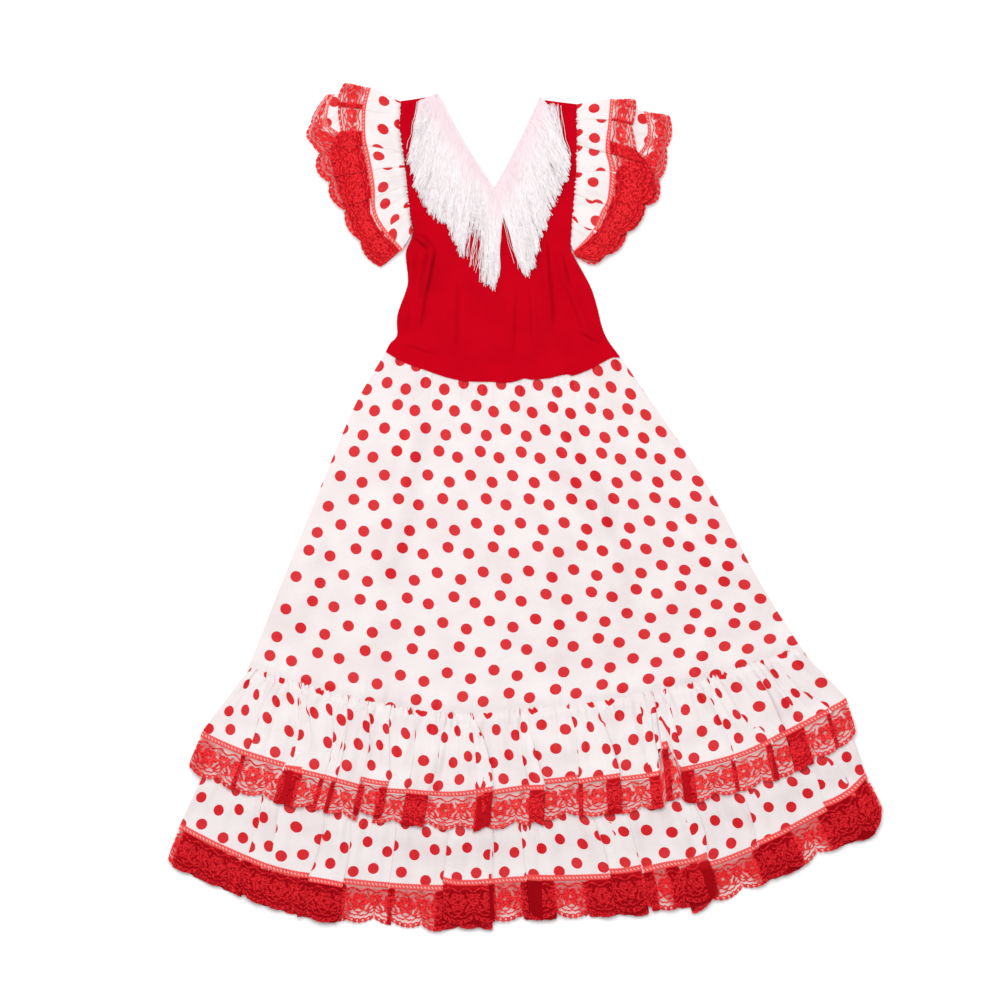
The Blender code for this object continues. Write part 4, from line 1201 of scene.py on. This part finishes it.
UPPER_FOLDS = [Fold(*row) for row in (
    (0.031, 0.077, +1, 0.008), (0.077, 0.131, -1, 0.023, 0.004), (0.144, 0.186, -1, 0.008),
    (0.180, 0.204, -1, 0.008), (0.212, 0.245, -1, 0.010, -0.010),
    (0.262, 0.293, +1, 0.012, 0.009), (0.288, 0.316, -1, 0.024), (0.352, 0.355, +1, 0.006),
    (0.413, 0.451, +1, 0.020, 0.006), (0.486, 0.501, -1, 0.006),
    (0.506, 0.529, +1, 0.016, -0.008), (0.575, 0.574, -1, 0.008, 0.005),
    (0.628, 0.642, +1, 0.018, 0.006), (0.716, 0.702, +1, 0.015), (0.730, 0.717, +1, 0.010),
    (0.745, 0.727, -1, 0.017), (0.820, 0.815, +1, 0.008), (0.852, 0.874, +1, 0.010),
    (0.905, 0.893, -1, 0.024), (0.955, 0.972, +1, 0.008))]
UPPER_PINCH = [Hitch(start=0.698, end=0.731, rise=0.028, edge=0.2, blend=0.008)]
settle(*ruffle("upper_ruffle_front", "upper_lace_front", UPPER, UPPER_FOLDS,
               FRONT_LOOK._replace(seed=90, flare=UPPER_FLARE), LACE_THREAD, UPPER_PINCH))

# ================================================================ neck tape and fringe
# A pale pink cotton tape, sewn round the V of the neck, that carries a fringe of silky white
# threads. The threads hang straight down from the tape and part in the middle of the chest.

TAPE_WIDTH = 0.009
TAPE_WALL = 0.0010
STRANDS = 4400
STRAND_STEPS = 8
STRAND_RADIUS = 0.00029
STRAND_STRAY = 0.013  # how far a strand may wander at its tip
# share of the way round the tape, and x and y of the tips of the threads there
FRINGE_TIPS = [
    (0.00, -0.1150, 0.346), (0.03, -0.1105, 0.329), (0.06, -0.1045, 0.311), (0.10, -0.096, 0.296),
    (0.14, -0.090, 0.290), (0.18, -0.084, 0.286), (0.22, -0.078, 0.283), (0.26, -0.073, 0.272),
    (0.30, -0.068, 0.261), (0.34, -0.063, 0.254), (0.38, -0.057, 0.247), (0.42, -0.048, 0.237),
    (0.46, -0.041, 0.226), (0.50, -0.033, 0.219), (0.5362, -0.0285, 0.233), (0.5365, -0.003, 0.240),
    (0.57, -0.001, 0.236), (0.60, 0.003, 0.234), (0.64, 0.007, 0.237), (0.68, 0.010, 0.251),
    (0.72, 0.013, 0.264), (0.76, 0.018, 0.277), (0.80, 0.024, 0.292), (0.84, 0.030, 0.305),
    (0.88, 0.035, 0.316), (0.92, 0.041, 0.329), (0.96, 0.0440, 0.339), (1.00, 0.0390, 0.352),
]
RIGHT_START = 0.5364  # share of the tape where the threads of the right half start
LOCKS = 110
THIN_FROM, THIN_TO = 0.345, 0.455  # shares of the tape between which most strands are short
THIN_SHARE = 0.92  # of the strands there are short
SHOULDER = 0.05  # share of the tape at each end whose threads hang over the shoulder seam


def tape_finish():
    """Pale pink twill tape."""
    f = Finish("pale_pink_tape", Sheen_Weight=0.1, Specular_IOR_Level=0.3)
    where = f.flat_place()
    u, v = f.parts(where)
    wear = f.noise(where, 120.0)
    colour = f.mix(wear, (0.85, 0.755, 0.785, 1), (0.77, 0.665, 0.705, 1))
    knots = f.noise(where, 600.0)
    relief = f.bump((u + v).sine(0.0009) * 0.5 + knots * 3, 0.0002, 0.6)
    return f.link(Base_Color=colour, Roughness=wear * 0.2 + 0.55, Normal=relief)


def fringe_finish():
    """Silky white thread: a little pink, brighter where it is twisted."""
    f = Finish("white_silk_fringe", Sheen_Weight=0.1, Specular_IOR_Level=0.30)
    where = f.node("TexCoord", out=3)
    strand = f.noise(f.vector("MULTIPLY", where, (1.0, 0.15, 1.0)), 600.0, 1.0)
    twist = f.noise(where, 1800.0, 1.0)
    down = f.stored("along")
    head = f.mix(strand, (0.880, 0.750, 0.785, 1), (0.820, 0.670, 0.715, 1))
    thread = f.mix(strand.between(0.35, 0.7), (0.900, 0.850, 0.862, 1), (0.850, 0.770, 0.792, 1))
    colour = f.mix(down.between(0.05, 0.42), head, thread)
    return f.link(Base_Color=colour, Roughness=twist * 0.2 + 0.45,
                  Normal=f.bump(twist, 0.0001, 0.3))


def tape_lines():
    """Inner and outer edge of the tape, from the left shoulder by the neck point to the right."""
    left = smooth_line(LEFT_NECK, np.linspace(1, 0, 40))
    right = smooth_line(RIGHT_NECK, np.linspace(0, 1, 40))
    inner = np.vstack([left, right[1:]])
    way = np.gradient(inner, axis=0)
    way /= np.linalg.norm(way, axis=1)[:, None]
    out = np.stack([way[:, 1], -way[:, 0]], axis=-1)
    point = len(left) - 1
    widths = np.full(len(inner), TAPE_WIDTH)
    widths[point - 2:point + 3] *= (1.12, 1.35, 1.7, 1.35, 1.12)
    return inner, inner + out * widths[:, None]


def neck_tape():
    inner, outer = tape_lines()
    across = np.linspace(0, 1, 6)
    xy = inner[:, None] + across[None, :, None] * (outer - inner)[:, None]
    used = way_through(inner)
    cut = np.stack(np.broadcast_arrays(used[:, None], across[None] * TAPE_WIDTH), axis=-1)
    laid = np.dstack([xy, PILE.rest(xy, 0.003)])
    return cloth("neck_tape", [laid], [cut], TAPE_WALL, tape_finish())


def fringe_lines():
    """Where each strand starts and ends, and the number of the lock it is in."""
    inner, outer = tape_lines()
    along_tape = way_through(outer)
    rng = np.random.default_rng(7)
    shares = (np.arange(STRANDS) + rng.uniform(-0.4, 0.4, STRANDS)) / STRANDS
    # every ninth strand is moved to the left shoulder, and as many to the right one
    moved = len(shares[::9])
    shares[::9] = SHOULDER * (np.arange(moved) / moved) ** 1.5
    shares[4::9] = 1 - shares[::9][:len(shares[4::9])]
    shares = np.clip(shares, 0, 1)
    # the roots are on the tape, in a loose bunch at the shoulders and at the middle of the neck
    at = shares * along_tape[-1]
    inside, outside = (points_at(at, along_tape, line) for line in (inner, outer))
    root = inside + rng.uniform(0.10, 0.75, (STRANDS, 1)) * (outside - inside)
    left, right = ease(1 - shares / SHOULDER), ease((shares - 1) / SHOULDER + 1)
    spread = rng.uniform(0, 1, STRANDS)
    root[:, 0] += 0.018 * right * spread**6 - 0.017 * left * spread
    root[:, 1] += (left + right) * (0.0035 - 0.007 * spread)
    middle_tuft = ease((shares - 0.47) / 0.06) * (shares < RIGHT_START)
    root += middle_tuft[:, None] * spread[:, None] * (0.010, -0.003)
    # the tips stray a little, are drawn together in locks, and some strands are short
    wings = np.array(FRINGE_TIPS)
    tip = points_at(shares, wings[:, 0], wings[:, 1:])
    lock = np.floor(shares * LOCKS)
    tug = np.random.default_rng(8).uniform(-1, 1, (LOCKS + 2, 3))[lock.astype(int)]
    middle = (lock + 0.5) / LOCKS
    locked = points_at(middle, wings[:, 0], wings[:, 1:])
    tip = 0.82 * tip + 0.18 * locked + tug[:, :2] * (0.0012, 0.0026)
    length = np.linalg.norm(tip - root, axis=1)[:, None]
    thinned = (shares > THIN_FROM) & (shares < THIN_TO)
    thin = (thinned & (rng.uniform(0, 1, STRANDS) < THIN_SHARE))[:, None]
    spare = rng.uniform(0, 1, (STRANDS, 1)) ** 4 * 0.24
    spare = spare + rng.uniform(0.34, 0.54, (STRANDS, 1)) * thin
    tip = root + (tip - root) * (1 + 0.03 * tug[:, 2:] - spare)
    tip = tip + rng.normal(0, 1, (STRANDS, 2)) * (0.012 + 0.02 * (left + right))[:, None] * length
    return root, tip, lock


def fringe_tree():
    """Grows a wandering, tapering strand from each point of a mesh to the place it stores."""
    tree, node = geometry_tree("fringe_strands", Roots="Geometry", Steps="Int", Radius="Float",
                               Stray="Float", Finish="Material")

    def vector(operation, first, second):
        return node("ShaderNodeVectorMath", {0: first, 1: second}, operation=operation)[0]

    def scaled(first, scale):
        return node("ShaderNodeVectorMath", {0: first, "Scale": scale}, operation="SCALE")[0]

    def stored(name, kind="FLOAT_VECTOR"):
        return node("InputNamedAttribute", {"Name": name}, data_type=kind)[0]

    given = node("NodeGroupInput")
    line = node("CurvePrimitiveLine", {"Start": (0, 0, 0), "End": (0, 0, 1e-4)})[0]
    fine = node("ResampleCurve", {"Curve": line, "Count": given["Steps"]})[0]
    links = {"Geometry": fine, "Name": "along", "Value": node("SplineParameter")[0]}
    kept = node("StoreNamedAttribute", links, data_type="FLOAT", domain="POINT")[0]
    copies = node("InstanceOnPoints", {"Points": given["Roots"], "Instance": kept})[0]
    real = node("RealizeInstances", {0: copies})[0]
    share = stored("along", "FLOAT")
    reach = vector("SUBTRACT", stored("tip"), stored("root"))
    place = vector("ADD", stored("root"), scaled(reach, share))
    links = {"Vector": vector("MULTIPLY", place, (60.0, 30.0, 60.0)), "W": stored("own", "FLOAT")}
    noise = node("ShaderNodeTexNoise", links, noise_dimensions="4D")["Color"]
    drift = vector("SUBTRACT", noise, (0.5, 0.5, 0.5))
    flat_drift = vector("MULTIPLY", drift, (1.0, 0.6, 0.35))
    amount = node("ShaderNodeMath", {0: share, 1: given["Stray"]}, operation="MULTIPLY")[0]
    strayed = vector("ADD", place, scaled(flat_drift, amount))
    bent = node("SetPosition", {"Geometry": real, "Position": strayed})[0]
    ring = node("CurvePrimitiveCircle", {"Resolution": 3, "Radius": given["Radius"]})[0]
    links = {"Value": share, "From Min": 0.6, "To Min": 1.0, "To Max": 0.45}
    taper = node("ShaderNodeMapRange", links)[0]
    sized = node("SetCurveRadius", {"Curve": bent, "Radius": taper})[0]
    tube = node("CurveToMesh", {"Curve": sized, "Profile Curve": ring})[0]
    dressed = node("SetMaterial", {"Geometry": tube, "Material": given["Finish"]})[0]
    node("NodeGroupOutput", {"Piece": dressed})
    return tree


def neck_fringe():
    root, tip, lock = fringe_lines()
    rng = np.random.default_rng(17)
    level = np.random.default_rng(9).uniform(0, 1, LOCKS + 2)[lock.astype(int)]
    base = PILE.rest(root, 0.003) + TAPE_WALL
    samples = root[:, None] + np.linspace(0.2, 1, 6)[None, :, None] * (tip - root)[:, None]
    floor = PILE.rest(samples, 0.004).max(axis=1) + STRAND_RADIUS
    height = floor + 0.0005 + 0.0008 * level + rng.uniform(0, 0.0013, STRANDS)
    roots3 = np.column_stack([root, base])
    tips3 = np.column_stack([tip, height])
    mesh = new_mesh("fringe_roots", roots3.tolist(), [])
    for name, values in (("root", roots3), ("tip", tips3)):
        ends = mesh.attributes.new(name, "FLOAT_VECTOR", "POINT")
        ends.data.foreach_set("vector", values.ravel())
    store(mesh, "own", lock * 0.37 + rng.uniform(0, 0.18, STRANDS))
    obj = placed("neck_fringe_strands", mesh)
    made = obj.modifiers.new("strands", "NODES")
    made.node_group = fringe_tree()
    set_inputs(made, Steps=STRAND_STEPS, Radius=STRAND_RADIUS, Stray=STRAND_STRAY,
               Finish=fringe_finish())
    return plain_copy(obj)


tape = neck_tape()
strands = neck_fringe()
sewn_in(tape, "white_fringe", "neck_fringe")
sewn_in(strands, "white_fringe", "neck_fringe")

# ================================================================ table, light and camera
# A plain white table under soft studio light from above, seen straight down.

CAMERA_HEIGHT = 5.0
VIEW_WIDTH = 1.0
MIDDLE_LEVEL = 0.006  # height of the cloth that is seen at this width
VIEW_CENTRE = (-0.025, 0.007)
SENSOR = 36.0
TABLE_LEVEL = -0.0004  # a little below the dress, so that the two don't lie in one plane


def table():
    mesh = new_mesh("table", [(-6, -6, 0), (6, -6, 0), (6, 6, 0), (-6, 6, 0)], [(0, 1, 2, 3)])
    f = Finish("white_table", Roughness=0.8, Specular_IOR_Level=0.0)
    tone = f.noise(f.node("TexCoord", out=3), 3.0)
    colour = f.mix(tone, (0.98, 0.98, 0.98, 1), (0.96, 0.96, 0.96, 1))
    mesh.materials.append(f.link(Base_Color=colour))
    obj = placed("table", mesh)
    obj.location.z = TABLE_LEVEL


def soft_light(name, place, size, power):
    light = bpy.data.lights.new(name, "AREA")
    light.size = size
    light.energy = power
    obj = placed(name, light)
    obj.location = place
    obj.rotation_euler = Vector(place).to_track_quat("Z", "Y").to_euler()
    obj.visible_camera = False


table()
soft_light("top_light", (-0.12, 0.6, 3.0), 1.8, 86.0)
soft_light("side_light", (-1.9, 1.6, 1.8), 1.4, 12.0)
world = bpy.data.worlds.new("studio")
world.use_nodes = True
sky = world.node_tree.nodes["Background"].inputs
sky["Color"].default_value = (1.0, 1.0, 1.0, 1)
sky["Strength"].default_value = 0.35
bpy.context.scene.world = world
bpy.context.scene.view_settings.view_transform = "Standard"

lens = bpy.data.cameras.new("camera")
lens.sensor_width = SENSOR
lens.lens = SENSOR * CAMERA_HEIGHT / VIEW_WIDTH
camera = placed("camera", lens)
camera.location = (*VIEW_CENTRE, CAMERA_HEIGHT + MIDDLE_LEVEL)
bpy.context.scene.camera = camera
